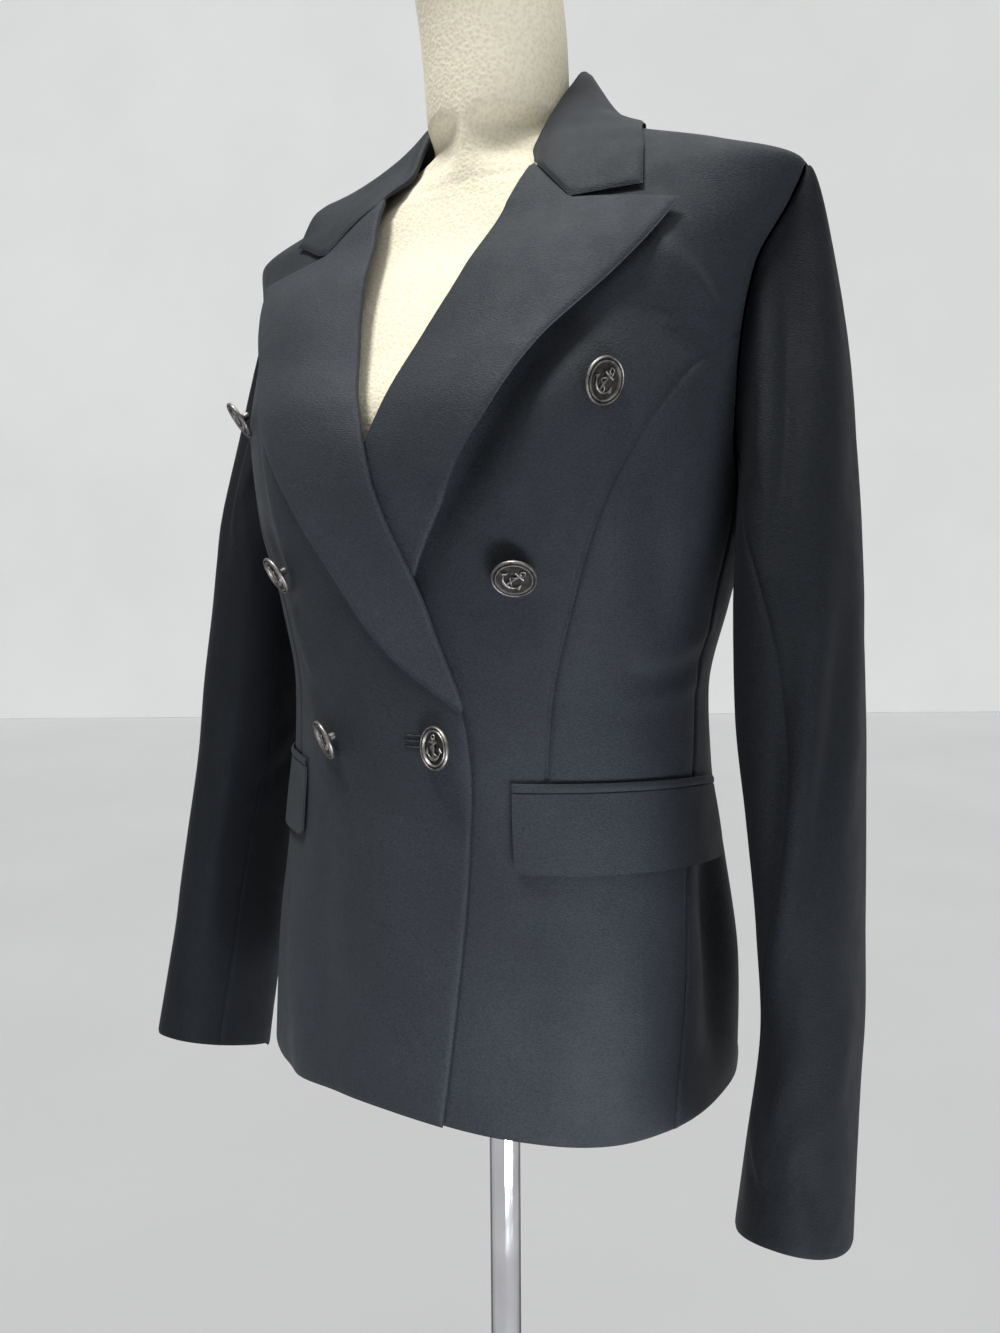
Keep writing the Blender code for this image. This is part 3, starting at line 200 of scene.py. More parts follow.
# Buttons: where they are sewn on the front, and how each one has sagged and spun.
SHANK_RADIUS = 0.0021
BUTTON_BACK = 0.0060  # from its seat to the middle of the button
BUTTON_SIDES, BUTTON_SHARP = 72, 45
ANCHOR_LEVEL, ROPE_STEPS = 0.00185, 46
BUTTONS = table(
    "name reach height turn rise sink spin",
    ("left_top_button", 0.1210, 1.180, 66.0, -14.0, 0.0019, -34.0),
    ("right_top_button", 0.1210, 1.180, -38.0, -34.0, 0.0, -30.0),
    ("left_middle_button", 0.0800, 1.083, 25.0, -40.0, 0.0, -52.0),
    ("right_middle_button", 0.0800, 1.083, -30.0, -30.0, 0.0, 15.0),
    ("left_bottom_button", 0.0385, 0.984, -18.0, 2.0, 0.0, 6.0),
    ("right_bottom_button", 0.0385, 0.984, -32.0, -20.0, 0.0, 20.0),
)
HOLE_PLACE = (-0.0195, 0.9858)
HOLE_LENGTH, HOLE_HEIGHT, HOLE_EDGE, HOLE_SLIT = 0.0132, 0.0066, 0.0012, 0.0014
HOLE_REST, HOLE_RISE, HOLE_CLOTH = 0.0002, 0.0007, 0.0006

# Dress form: torso and neck as one padded body, rings from the flat foot to the neck's top.
FORM = table(
    "height half_width front_depth back_depth y_centre front_power back_power",
    (0.8, 0.138, 0.108, 0.103, 0.0, 2.2, 2.2), (0.806, 0.145, 0.115, 0.11, 0.0, 2.2, 2.2),
    (0.87, 0.144, 0.116, 0.108, 0.0, 2.2, 2.2), (0.93, 0.136, 0.114, 0.096, 0.0, 2.2, 2.2),
    (0.97, 0.129, 0.112, 0.085, 0.0, 2.2, 2.2), (1.005, 0.127, 0.112, 0.0755, 0.0, 2.2, 2.25),
    (1.06, 0.137, 0.116, 0.082, 0.0, 2.2, 2.35), (1.115, 0.148, 0.126, 0.0915, 0.0, 2.2, 2.5),
    (1.165, 0.152, 0.127, 0.097, 0.0, 2.2, 2.6), (1.21, 0.153, 0.105, 0.099, 0.0, 2.2, 2.7),
    (1.25, 0.156, 0.08, 0.0985, 0.0, 2.2, 2.6), (1.28, 0.168, 0.059, 0.093, 0.0, 2.1, 2.4),
    (1.299, 0.176, 0.05, 0.087, 0.0, 2.0, 2.3), (1.311, 0.168, 0.045, 0.083, 0.0, 1.75, 2.25),
    (1.3195, 0.157, 0.043, 0.08, 0.0, 1.3, 2.2), (1.337, 0.106, 0.043, 0.071, 0.0, 0.9, 2.1),
    (1.352, 0.049, 0.044, 0.058, 0.0, 1.15, 2.05), (1.364, 0.0462, 0.045, 0.05, -0.0003, 1.9, 2.0),
    (1.385, 0.046, 0.0462, 0.047, -0.0012, 2.0, 2.0),
    (1.41, 0.0464, 0.0464, 0.0464, -0.004, 2.0, 2.0),
    (1.44, 0.0463, 0.0463, 0.0463, -0.0115, 2.0, 2.0),
    (1.496, 0.046, 0.046, 0.046, -0.0275, 2.0, 2.0),
    (1.5, 0.0425, 0.0425, 0.0425, -0.0285, 2.0, 2.0),
)
FORM_SIDES = 144
FORM_ROUND = 0.8006  # where the foot's rounding starts


# How the fine cloth differs from the solids.
WALL, COLLAR_WALL, LAPEL_WALL = 0.0011, 0.0012, 0.0010
SEAM_DEPTH, SEAM_WIDTH = 0.0013, 0.0015  # the dip along a pressed seam or edge
RIDE_UP = 0.013  # how much higher the wearer's right collar corner lies
SHOULDER_SAG = 0.007  # how much lower the wearer's right shoulder lies
SAG_ACROSS, SAG_UP = (0.035, 0.120), (1.19, 1.29)
ROLL_RADIUS = 0.0019
ROLL_TURNS = (176, 150, 120, 90, 60, 30)
SHARP_ANGLE = 60
EDGE_STEPS = (0.12, 0.28, 0.5)  # extra grid lines beside an edge, in cells
RIM_STEP = 0.0005
FOLD_TAPER = 0.7


# Folds: soft ridges (height > 0) or troughs along points (u, v), wider on one side than the
# other. u is the angle on the torso and the turn on a sleeve, in degrees; v is the height, and
# all else is in millimetres. On the collar u is the fall, and v the share in thousandths.
BOTH, LEFT, RIGHT = (1, -1), (1,), (-1,)
TORSO_FOLDS = table(
    "side height left_width right_width points",
    (LEFT, 6, 5, 6, ((49, 1259), (54, 1248), (60, 1236), (67, 1222), (72, 1212))),
    (LEFT, -4.8, 7, 10, ((46, 1236), (54, 1221), (62, 1208), (70, 1197))),
    (LEFT, -6, 10, 13, ((41, 1226), (36, 1206), (27.5, 1170), (19, 1130), (11, 1095), (4, 1066))),
    (LEFT, 2.6, 12, 14, ((46, 1206), (38, 1172), (30, 1136), (22, 1100))),
    (LEFT, -2.2, 10, 16, ((62, 1150), (58, 1110), (62, 1070), (70, 1040))),
    (LEFT, 1.6, 10, 14, ((52, 1130), (50, 1100), (53, 1060))),
    (LEFT, 1.7, 4, 8, ((90, 1048), (78, 1037), (66, 1030), (54, 1034))),
    (LEFT, 1.5, 4, 8, ((92, 1016), (76, 1008), (62, 1007), (50, 1012))),
    (LEFT, -1.4, 5, 5, ((90, 1030), (74, 1020), (56, 1020))),
    (LEFT, 2.4, 16, 22, ((49, 895), (51, 850), (51, 800), (50, 745))),
    (LEFT, -1.6, 14, 14, ((31, 900), (32, 840), (33, 750))),
    (LEFT, -1.2, 10, 10, ((65, 890), (64, 830), (63, 750))),
    (LEFT, -9.5, 13, 16, ((91, 935), (88, 890), (86, 840), (84, 770))),
    (LEFT, 3.4, 12, 16, ((102, 930), (100, 880), (98, 820), (96, 745))),
    (LEFT, -3, 12, 12, ((112, 930), (111, 860), (110, 760))),
    (RIGHT, 4.4, 3.4, 10, ((33, 1180), (29, 1144), (26.5, 1110), (27, 1076))),
    (RIGHT, 3.8, 4, 10, ((32, 1076), (28.5, 1052), (26, 1032), (21, 1010))),
    (RIGHT, -1.8, 7, 7, ((37, 1120), (35, 1080), (34, 1050))),
    (RIGHT, 1.2, 6, 9, ((37, 1024), (27, 1010), (16, 992))),
    (RIGHT, -0.9, 6, 8, ((40, 1008), (28, 996), (18, 984))),
    (RIGHT, 3.4, 10, 18, ((34, 905), (31, 840), (26, 780), (23, 745))),
    (RIGHT, -3, 12, 12, ((19, 950), (20, 880), (17, 820), (12, 755))),
    (RIGHT, 1.4, 14, 14, ((-2, 950), (0, 880), (1, 800))),
    (RIGHT, -4, 14, 18, ((87, 925), (85, 880), (83, 830), (82, 790))),
    (RIGHT, 2.4, 12, 16, ((101, 925), (99, 870), (98, 810), (97, 760))),
    (BOTH, 1.6, 7, 12, ((128, 1040), (142, 1024), (158, 1018), (172, 1020))),
    (BOTH, 1.4, 6, 10, ((124, 1010), (140, 998), (160, 994))),
    (BOTH, -1.2, 7, 7, ((126, 1026), (142, 1010), (160, 1006))),
    (LEFT, 2.2, 14, 20, ((150, 930), (152, 860), (154, 770))),
    (RIGHT, 2.4, 14, 20, ((146, 940), (150, 870), (151, 770))),
    (BOTH, -1.8, 14, 14, ((166, 930), (168, 860), (168, 775))),
    (BOTH, 2, 8, 14, ((122, 1250), (126, 1210), (130, 1160), (136, 1110))),
    (BOTH, -1.4, 8, 10, ((130, 1240), (135, 1190), (141, 1140))),
    (BOTH, 1.2, 10, 10, ((150, 1315), (148, 1280), (150, 1240))),
)
SLEEVE_FOLDS = table(
    "side height left_width right_width points",
    (BOTH, 2.6, 7, 10, ((34, 1284), (60, 1240), (88, 1190), (98, 1150), (92, 1104))),
    (BOTH, -7, 13, 12, ((30, 1284), (46, 1228), (64, 1171), (80, 1120), (88, 1080))),
    (BOTH, 3, 12, 16, ((16, 1262), (22, 1196), (32, 1140), (42, 1090))),
    (LEFT, 5.6, 9, 14, ((43, 1118), (50, 1066), (62, 1000), (80, 938), (101, 886), (126, 842))),
    (LEFT, -4, 12, 12, ((24, 1066), (35, 1000), (51, 930), (70, 876))),
    (LEFT, -2.4, 10, 10, ((70, 1060), (76, 1010), (94, 940), (116, 890))),
    (LEFT, 2.6, 14, 18, ((8, 1130), (10, 1060), (15, 1000), (22, 940))),
    (LEFT, 2.2, 4, 9, ((134, 800), (128, 788), (117, 776), (104, 765))),
    (LEFT, -1.8, 5, 5, ((132, 780), (120, 768), (104, 756))),
    (LEFT, 2.2, 7, 12, ((86, 836), (100, 806), (119, 783))),
    (LEFT, -2.2, 8, 12, ((72, 790), (54, 768), (28, 744))),
    (LEFT, 1.6, 10, 14, ((20, 860), (34, 820), (52, 790))),
    (RIGHT, 2.6, 8, 14, ((66, 1204), (100, 1125), (120, 1085), (118, 1030))),
    (RIGHT, 2.4, 10, 12, ((118, 1030), (121, 942), (128, 860), (132, 800))),
    (RIGHT, -2.2, 12, 12, ((98, 1020), (100, 940), (106, 870))),
    (RIGHT, 1.6, 6, 10, ((150, 930), (170, 950), (190, 965))),
    (RIGHT, -1.4, 6, 8, ((146, 910), (168, 926), (190, 940))),
    (BOTH, 2.2, 6, 10, ((196, 975), (228, 960), (262, 968))),
    (BOTH, 2, 6, 10, ((190, 945), (226, 925), (268, 940))),
    (BOTH, -1.6, 6, 6, ((192, 960), (228, 943), (264, 952))),
    (BOTH, -4, 14, 14, ((322, 1272), (306, 1225), (288, 1165), (272, 1110))),
    (BOTH, 2.4, 8, 14, ((336, 1268), (326, 1210), (312, 1150), (300, 1100))),
    (BOTH, 2, 12, 18, ((330, 1040), (322, 960), (316, 880), (312, 800))),
    (BOTH, 1.4, 6, 10, ((250, 800), (280, 780), (310, 770))),
)
COLLAR_FOLDS = table(
    "side height left_width right_width points",
    (LEFT, 0.9, 80, 100, ((0.3, 620), (0.55, 720), (0.8, 780))),
    (LEFT, -0.8, 70, 70, ((0.2, 800), (0.45, 860), (0.7, 900))),
    (BOTH, 1, 80, 120, ((0.25, 100), (0.55, 200), (0.85, 160))),
    (BOTH, -0.8, 80, 80, ((0.3, 420), (0.6, 500), (0.9, 460))),
)
TORSO_ARC, SLEEVE_ARC = 0.135 * math.pi / 180, 0.29 / 360  # metres to a degree

# The flat size that each piece is cut to where it shows, in metres, and its flat area.
CUTS = {
    "front": (0.284, 0.736, 0.1130),
    "side_front": (0.112, 0.302, 0.0234),
    "side_back": (0.188, 0.453, 0.0494),
    "back": (0.258, 0.726, 0.0918),
    "lapel": (0.119, 0.368, 0.0250),
    "collar": (0.096, 0.450, 0.0284),
    "collar_stand": (0.040, 0.222, 0.0073),
    "left_top_sleeve": (0.325, 0.606, 0.0979),
    "right_top_sleeve": (0.327, 0.598, 0.1113),
    "left_under_sleeve": (0.135, 0.490, 0.0462),
    "right_under_sleeve": (0.093, 0.490, 0.0322),
    "pocket_welt": (0.159, 0.0118, 0.00097),
    "pocket_flap": (0.175, 0.047, 0.0075),
}

# --- curves and surfaces -------------------------------------------------------------------


def smooth(table, column, at):
    """The table's column at some heights, by a monotone cubic through its rows."""
    knots = np.array([row[0] for row in table])
    values = np.array([getattr(row, column) for row in table])
    step = np.diff(knots)
    rise = np.diff(values) / step
    slope = np.concatenate([rise[:1], np.zeros(len(rise) - 1), rise[-1:]])
    same = rise[:-1] * rise[1:] > 0
    before = 2 * step[1:] + step[:-1]
    after = step[1:] + 2 * step[:-1]
    safe = np.where(same, rise[:-1], 1.0), np.where(same, rise[1:], 1.0)
    mean = (before + after) / (before / safe[0] + after / safe[1])
    slope[1:-1] = np.where(same, mean, 0.0)
    at = np.clip(np.asarray(at, float), knots[0], knots[-1])
    i = np.clip(np.searchsorted(knots, at, side="right") - 1, 0, len(step) - 1)
    u = (at - knots[i]) / step[i]
    return (
        values[i] * (1 + 2 * u) * (1 - u) ** 2
        + values[i + 1] * u**2 * (3 - 2 * u)
        + step[i] * (slope[i] * u * (1 - u) ** 2 - slope[i + 1] * u**2 * (1 - u))
    )


def ease(value, start, end):
    """0 before start, 1 after end, smooth between."""
    share = np.clip((np.asarray(value, float) - start) / (end - start), 0.0, 1.0)
    return share**2 * (3 - 2 * share)


def armhole_at(place):
    """(angle, height) on the armhole; place counts notches and wraps round."""
    points = np.array(ARMHOLE)
    place = np.mod(np.asarray(place, float), len(points))
    i = np.floor(place).astype(int)
    u = (place - i)[..., None]
    a, b, c, d = (points[(i + k) % len(points)] for k in (-1, 0, 1, 2))
    curve = 2 * b + (c - a) * u + (2 * a - 5 * b + 4 * c - d) * u**2
    curve = (curve + (3 * b - a - 3 * c + d) * u**3) / 2
    return curve[..., 0], curve[..., 1]


def armhole_run(start, end):
    """(angle, height) along the armhole, at the points that all its pieces share."""
    count = round(abs(end - start) / ARMHOLE_STEP) + 1
    return np.stack(armhole_at(np.linspace(start, end, count)), axis=-1)


def ring_point(rings, angle, height, ahead=0.0):
    """A body's outer face between its rings, at an angle in degrees from the centre front."""
    angle = np.radians(angle)
    cosine, sine = np.cos(angle), np.sin(angle)
    front, back = smooth(rings, "front_depth", height), smooth(rings, "back_depth", height)
    depth = np.where(cosine > 0, front, back)
    front, back = smooth(rings, "front_power", height), smooth(rings, "back_power", height)
    power = np.where(cosine > 0, front, back)
    size = (np.abs(cosine) ** power + np.abs(sine) ** power) ** (-1 / power)
    x = smooth(rings, "half_width", height) * sine * size
    return np.stack([x, ahead - depth * cosine * size, height + 0 * x], axis=-1)


def body_point(angle, height):
    return ring_point(SECTIONS, angle, height)


def angle_at(reach, height):
    """The angle on the front at a distance from the centre line."""
    share = reach / smooth(SECTIONS, "half_width", height)
    power = smooth(SECTIONS, "front_power", height)
    size = np.minimum(np.abs(share), 1.0)
    return np.degrees(np.arctan2(np.sign(share) * size, (1 - size**power) ** (1 / power)))


def leaned(points):
    """The fronts lean in beside the roll line."""
    height = points[..., 2]
    past = points[..., 0] - smooth(OPENING, "reach", height)
    share = np.clip(1 - past / LEAN_WIDTH, 0.0, LEAN_LIMIT) ** 2
    depth = smooth(LEANS, "depth", height) * (height > LEANS[0].height)
    moved = points.copy()
    moved[..., 1] += depth * share * (points[..., 1] < 0)
    return moved


def unit(vectors):
    return vectors / np.linalg.norm(vectors, axis=-1, keepdims=True)


def normals_of(surface, u, v):
    """Unit normals of surface(u, v), by differences."""
    du = surface(u + DERIVATIVE * 10, v) - surface(u - DERIVATIVE * 10, v)
    dv = surface(u, v + DERIVATIVE) - surface(u, v - DERIVATIVE)
    return unit(np.cross(du, dv))


def torso(angle, height):
    return leaned(body_point(angle, height))


def lifted(angle, height, lift):
    """The torso surface moved out along its normals."""
    base = torso(angle, height)
    return base + normals_of(torso, angle, height) * np.asarray(lift)[..., None]


def overlap_lift(reach, height):
    """How far the wearer's right front stands off, at a reach of its own side."""
    return smooth(OVERLAP_LIFTS, "lift", height) * ease(-reach, -OVERLAP_END, -OVERLAP_FULL)


def patch(inner, outer, foot, top):
    """Points between four edges, each a list of (angle, height)."""
    s = np.linspace(0, 1, len(foot))[:, None, None]
    t = np.linspace(0, 1, len(inner))[None, :, None]
    sides = (1 - s) * inner[None] + s * outer[None]
    ends = (1 - t) * foot[:, None] + t * top[:, None]
    corners = (1 - s) * ((1 - t) * inner[0] + t * inner[-1])
    corners = corners + s * ((1 - t) * outer[0] + t * outer[-1])
    return sides + ends - corners


def pairs(angles, heights):
    return np.stack(np.broadcast_arrays(angles, heights), axis=-1).astype(float)


def hem_height(angle):
    cosine = np.cos(np.radians(angle))
    rise = np.where(cosine > 0, HEM_FRONT_RISE * cosine**4, HEM_BACK_RISE * cosine**2)
    return HEM_SIDE + rise


def pocket_share(angle):
    return np.clip((angle - POCKET_START) / (POCKET_END - POCKET_START), 0.0, 1.0)


def pocket_line(angle):
    """The cut under the welt, where the side front ends."""
    return WELT_TOP - WELT_HEIGHT / 2 - WELT_DROP * pocket_share(angle) ** 2

HALF_SEAM = math.degrees(SEAM / 2 / 0.130)
LOW_LEVELS = np.concatenate(
    [np.linspace(0.745, 0.9616, 33), np.linspace(0.9616, 1.003, 9)[1:]]
)
POCKET_ROW = 32
FRONT_COLUMNS, SIDE_COLUMNS, CHEST_ROWS = 36, 18, 34
SHOULDER_COLUMNS, NECK_COLUMNS = 20, 16


def princess_heights():
    """Row heights on the princess seam, shared by the front and the side front."""
    chest = np.linspace(BREAK_HEIGHT, PRINCESS_SEAM[-1].height, CHEST_ROWS + 1)[1:]
    return np.concatenate([LOW_LEVELS, chest])


def side_heights():
    """Row heights on the side seam: under the pocket, then above it."""
    angle = smooth(SIDE_SEAM, "angle", POCKET_LEVEL)
    low = LOW_LEVELS[: POCKET_ROW + 1]
    share = (low - low[0]) / (low[-1] - low[0])
    under = hem_height(angle) + share * (pocket_line(angle) - SEAM / 2 - hem_height(angle))
    above = princess_heights()[POCKET_ROW:]
    share = (above - above[0]) / (above[-1] - above[0])
    start = pocket_line(angle) + SEAM / 2
    return under, start + share * (SIDE_SEAM[-1].height - start)


def front_grid():
    """(angle, height) of the front: full width under the pocket, to the princess seam above."""
    armhole = armhole_run(PRINCESS_NOTCH, 0)
    on_seam = princess_heights()[:-1]
    outer_levels = np.concatenate([on_seam, armhole[:, 1]])
    outer = np.concatenate([smooth(PRINCESS_SEAM, "angle", on_seam) - HALF_SEAM, armhole[:, 0]])
    outer[len(on_seam)] -= HALF_SEAM
    fan = (NECK_SIDE - BREAK_HEIGHT) / (SHOULDER_TIP - BREAK_HEIGHT)
    above = BREAK_HEIGHT + (outer_levels - BREAK_HEIGHT) * fan
    levels = np.where(outer_levels > BREAK_HEIGHT, above, outer_levels)
    inner = angle_at(smooth(OPENING, "reach", levels), levels)
    inner[-1] = outer[-1] = 90.0 - 2.5 * HALF_SEAM
    share = np.linspace(0, 1, FRONT_COLUMNS + 1)[:, None]
    angle = (1 - share) * inner + share * outer
    height = (1 - share) * levels + share * outer_levels
    side = smooth(SIDE_SEAM, "angle", levels) - HALF_SEAM
    share = np.linspace(0, 1, SIDE_COLUMNS + 1)[1:, None]
    angle = np.concatenate([angle, (1 - share) * outer + share * side])
    height = np.concatenate([height, levels + 0 * share])
    rows = slice(0, POCKET_ROW + 1)
    angle[-1, rows] = smooth(SIDE_SEAM, "angle", side_heights()[0]) - HALF_SEAM
    start, end = LOW_LEVELS[0], LOW_LEVELS[POCKET_ROW]
    portion = (height[:, rows] - start) / (end - start)
    foot, top = hem_height(angle[:, rows]), pocket_line(angle[:, rows]) - SEAM / 2
    height[:, rows] = foot + portion * (top - foot)
    present = np.ones((angle.shape[0] - 1, angle.shape[1] - 1), bool)
    present[FRONT_COLUMNS:, POCKET_ROW:] = False
    return angle, height, present


def side_front_grid():
    top = armhole_run(PRINCESS_NOTCH, SIDE_NOTCH)
    _, side = side_heights()
    heights = princess_heights()[POCKET_ROW:].copy()
    seam_angle = smooth(PRINCESS_SEAM, "angle", heights) + 1.6 * HALF_SEAM
    side_angle = smooth(SIDE_SEAM, "angle", side) - HALF_SEAM
    foot_angle = np.linspace(seam_angle[0], side_angle[0], len(top))
    foot = pairs(foot_angle, pocket_line(foot_angle) + SEAM / 2)
    heights[0] = foot[0, 1]
    inner = pairs(seam_angle, heights)
    outer = pairs(side_angle, side)
    foot[-1] = outer[0]
    top[0], top[-1] = inner[-1], outer[-1]
    return patch(inner, outer, foot, top)


def back_seam_heights():
    """Row heights on the back seam, shared by the side back and the back."""
    under, above = side_heights()
    side = np.concatenate([under, above[1:]])
    share = (side - side[0]) / (side[-1] - side[0])
    start = hem_height(BACK_SEAM[0].angle)
    return start + share * (BACK_SEAM[-1].height - start)


def side_back_grid():
    top = armhole_run(SIDE_NOTCH, BACK_NOTCH)
    under, above = side_heights()
    side = np.concatenate([under, above[1:]])
    back = back_seam_heights()
    inner = pairs(smooth(SIDE_SEAM, "angle", side) + HALF_SEAM, side)
    outer = pairs(smooth(BACK_SEAM, "angle", back) - HALF_SEAM, back)
    foot_angle = np.linspace(inner[0, 0], outer[0, 0], len(top))
    foot = pairs(foot_angle, hem_height(foot_angle))
    foot[0], foot[-1] = inner[0], outer[0]
    top[0], top[-1] = inner[-1], outer[-1]
    return patch(inner, outer, foot, top)


def back_grid():
    columns = SHOULDER_COLUMNS + NECK_COLUMNS
    foot_angle = np.linspace(BACK_SEAM[0].angle + HALF_SEAM, 180 - HALF_SEAM, columns)
    foot = pairs(foot_angle, hem_height(foot_angle))
    heights = back_seam_heights()[:-1]
    seam = pairs(smooth(BACK_SEAM, "angle", heights) + HALF_SEAM, heights)
    foot[0] = seam[0]
    inner = np.concatenate([seam, armhole_run(BACK_NOTCH, len(ARMHOLE))])
    inner[len(seam), 0] += HALF_SEAM
    share = (inner[:, 1] - foot[0, 1]) / (SHOULDER_TIP - foot[0, 1])
    outer = pairs(180 - HALF_SEAM, foot[-1, 1] + share * (NECK_BACK - foot[-1, 1]))
    start = 90 + 2 * HALF_SEAM
    shoulder = np.linspace((start, SHOULDER_TIP), (start, NECK_SIDE), SHOULDER_COLUMNS + 1)
    neck = np.linspace((start, NECK_SIDE), (180 - HALF_SEAM, NECK_BACK), NECK_COLUMNS)
    top = np.concatenate([shoulder[:-1], neck])
    inner[-1], outer[-1] = top[0], top[-1]
    return patch(inner, outer, foot, top)


def lapel_top(share):
    """(reach, height) along the gorge seam to the notch, then along the lapel's top edge."""
    share = np.asarray(share, float)
    roll = (smooth(OPENING, "reach", GORGE_HEIGHT), GORGE_HEIGHT)
    tip = (LAPEL_EDGE[-1].reach, LAPEL_EDGE[-1].height)
    places = (0.0, NOTCH_SHARE, 1.0)
    reach = np.interp(share, places, (roll[0], NOTCH_REACH, tip[0]))
    height = np.interp(share, places, (roll[1], NOTCH_HEIGHT, tip[1]))
    return np.stack([reach, height], axis=-1)


def outside_shoulders(points):
    """Above 0 outside the torso and the neckline, below 0 inside them."""
    height = np.clip(points[..., 2], SECTIONS[0].height, NECK_SIDE)
    front, back = smooth(SECTIONS, "front_depth", height), smooth(SECTIONS, "back_depth", height)
    depth = np.where(points[..., 1] < 0, front, back)
    power = smooth(SECTIONS, "front_power", height)
    across = np.abs(points[..., 0]) / smooth(SECTIONS, "half_width", height)
    size = (across**power + (np.abs(points[..., 1]) / depth) ** power) ** (1 / power)
    return size - 1 + ABOVE_NECK * np.maximum(points[..., 2] - NECK_SIDE, 0.0)


def clear_of_shoulders(points, clearance, strength):
    """Points nearer the torso than the clearance are moved out to it, by a share of the way."""
    moved = points.copy()
    for _ in range(PUSHES):
        slope = np.stack(
            [
                (outside_shoulders(moved + step) - outside_shoulders(moved - step))
                / (2 * DERIVATIVE)
                for step in np.eye(3) * DERIVATIVE
            ],
            axis=-1,
        )
        size = np.linalg.norm(slope, axis=-1)
        need = np.maximum(clearance - outside_shoulders(moved) / size, 0.0) * strength
        moved = moved + slope / size[..., None] * need[..., None] * PUSH_SHARE
    return moved


def collar_station(share):
    """(fold, edge) of the collar at signed shares: 0 is the nape, 1 the wearer's left end."""
    mirror = np.stack([np.where(share < 0, -1.0, 1.0), 1 + 0 * share, 1 + 0 * share], axis=-1)
    return [
        mirror * np.stack([smooth(COLLAR, f"{line}_{k}", np.abs(share)) for k in "xyz"], axis=-1)
        for line in ("fold", "edge")
    ]


def collar_end(share, ride=0.0):
    """The collar's front end, along the gorge to the notch and on to its corner."""
    places = (0.0, COLLAR_NOTCH, 1.0)
    corner = COLLAR[-1]
    reach = np.interp(share, places, (COLLAR_FOOT, NOTCH_REACH + 0.0001, corner.edge_x))
    heights = (GORGE_HEIGHT + 0.0006, NOTCH_HEIGHT + 0.0007, corner.edge_z)
    height = np.interp(share, places, heights) + ride * ease(share, COLLAR_NOTCH, 1.0)
    lift = CLOTH + LAPEL_REST + COLLAR_END_LIFT * share
    return lifted(angle_at(reach, height), height, lift)


def sleeve_ring(turn, height):
    """A point of the free sleeve; turn runs from the outside through the front."""
    angle = 2 * np.pi * turn
    cosine, sine = np.cos(angle), np.sin(angle)
    size = (np.abs(cosine) ** SLEEVE_POWER + np.abs(sine) ** SLEEVE_POWER) ** (-1 / SLEEVE_POWER)
    across = smooth(SLEEVE, "half_width", height) * cosine * size
    forward = smooth(SLEEVE, "half_depth", height) * sine * size
    low = np.clip((CAP_HEIGHT - height) / (CAP_HEIGHT - CUFF_HEIGHT), 0.0, 1.0)
    x = smooth(SLEEVE, "x_centre", height) + across
    y = smooth(SLEEVE, "y_centre", height) - forward
    return np.stack([x, y, height + CUFF_TILT * low**2 * forward], axis=-1)


def sleeve_cap(turn, share):
    """From the armhole (share 0) over the cap to the free sleeve (share 1)."""
    angle, height = armhole_at(turn * len(ARMHOLE))
    rest = SLEEVE_REST + 0 * angle
    start = lifted(angle, height, rest)
    near_angle = angle * 0.98 + ARMHOLE_MIDDLE[0] * 0.02
    near_height = height * 0.98 + ARMHOLE_MIDDLE[1] * 0.02
    start = start + unit(lifted(near_angle, near_height, rest) - start) * SEAM
    normal = normals_of(torso, angle, height)
    under = (1 - np.cos(2 * np.pi * turn)) / 2
    down = np.array([0.0, 0.0, -1.0])
    away = normal * (1 - 0.65 * under**3)[..., None] + down * (0.12 + 0.9 * under**3)[..., None]
    top = np.exp(-((np.mod(turn + 0.5, 1.0) - 0.5) / CAP_TOP_WIDTH) ** 2)
    away = unit(away + np.array([1.0, 0.0, 0.25]) * top[..., None])
    end = sleeve_ring(turn, CAP_HEIGHT + 0 * turn)
    lead = unit(sleeve_ring(turn, CAP_HEIGHT - 0.01 + 0 * turn) - end)
    length = np.linalg.norm(end - start, axis=-1)
    first = start + away * (0.0015 + (0.045 + 0.05 * under) * length)[..., None]
    second = end - lead * (CAP_LEAD * length)[..., None]
    s = share[..., None]
    return (
        start * (1 - s) ** 3
        + 3 * first * s * (1 - s) ** 2
        + 3 * second * s**2 * (1 - s)
        + end * s**3
    )


def sleeve_surface(turn, place):
    """place 0 to 1 is the cap, 1 to 2 the free sleeve down to the cuff."""
    turn, place = np.broadcast_arrays(np.asarray(turn, float), np.asarray(place, float))
    cap = sleeve_cap(turn, np.clip(place, 0.0, 1.0))
    height = CAP_HEIGHT - np.clip(place - 1, 0.0, 1.0) * (CAP_HEIGHT - CUFF_HEIGHT)
    free = sleeve_ring(turn, height)
    return np.where((place < 1)[..., None], cap, free)


def form_point(angle, height):
    return ring_point(FORM, angle, height, smooth(FORM, "y_centre", height))


# --- cloth ---------------------------------------------------------------------------------


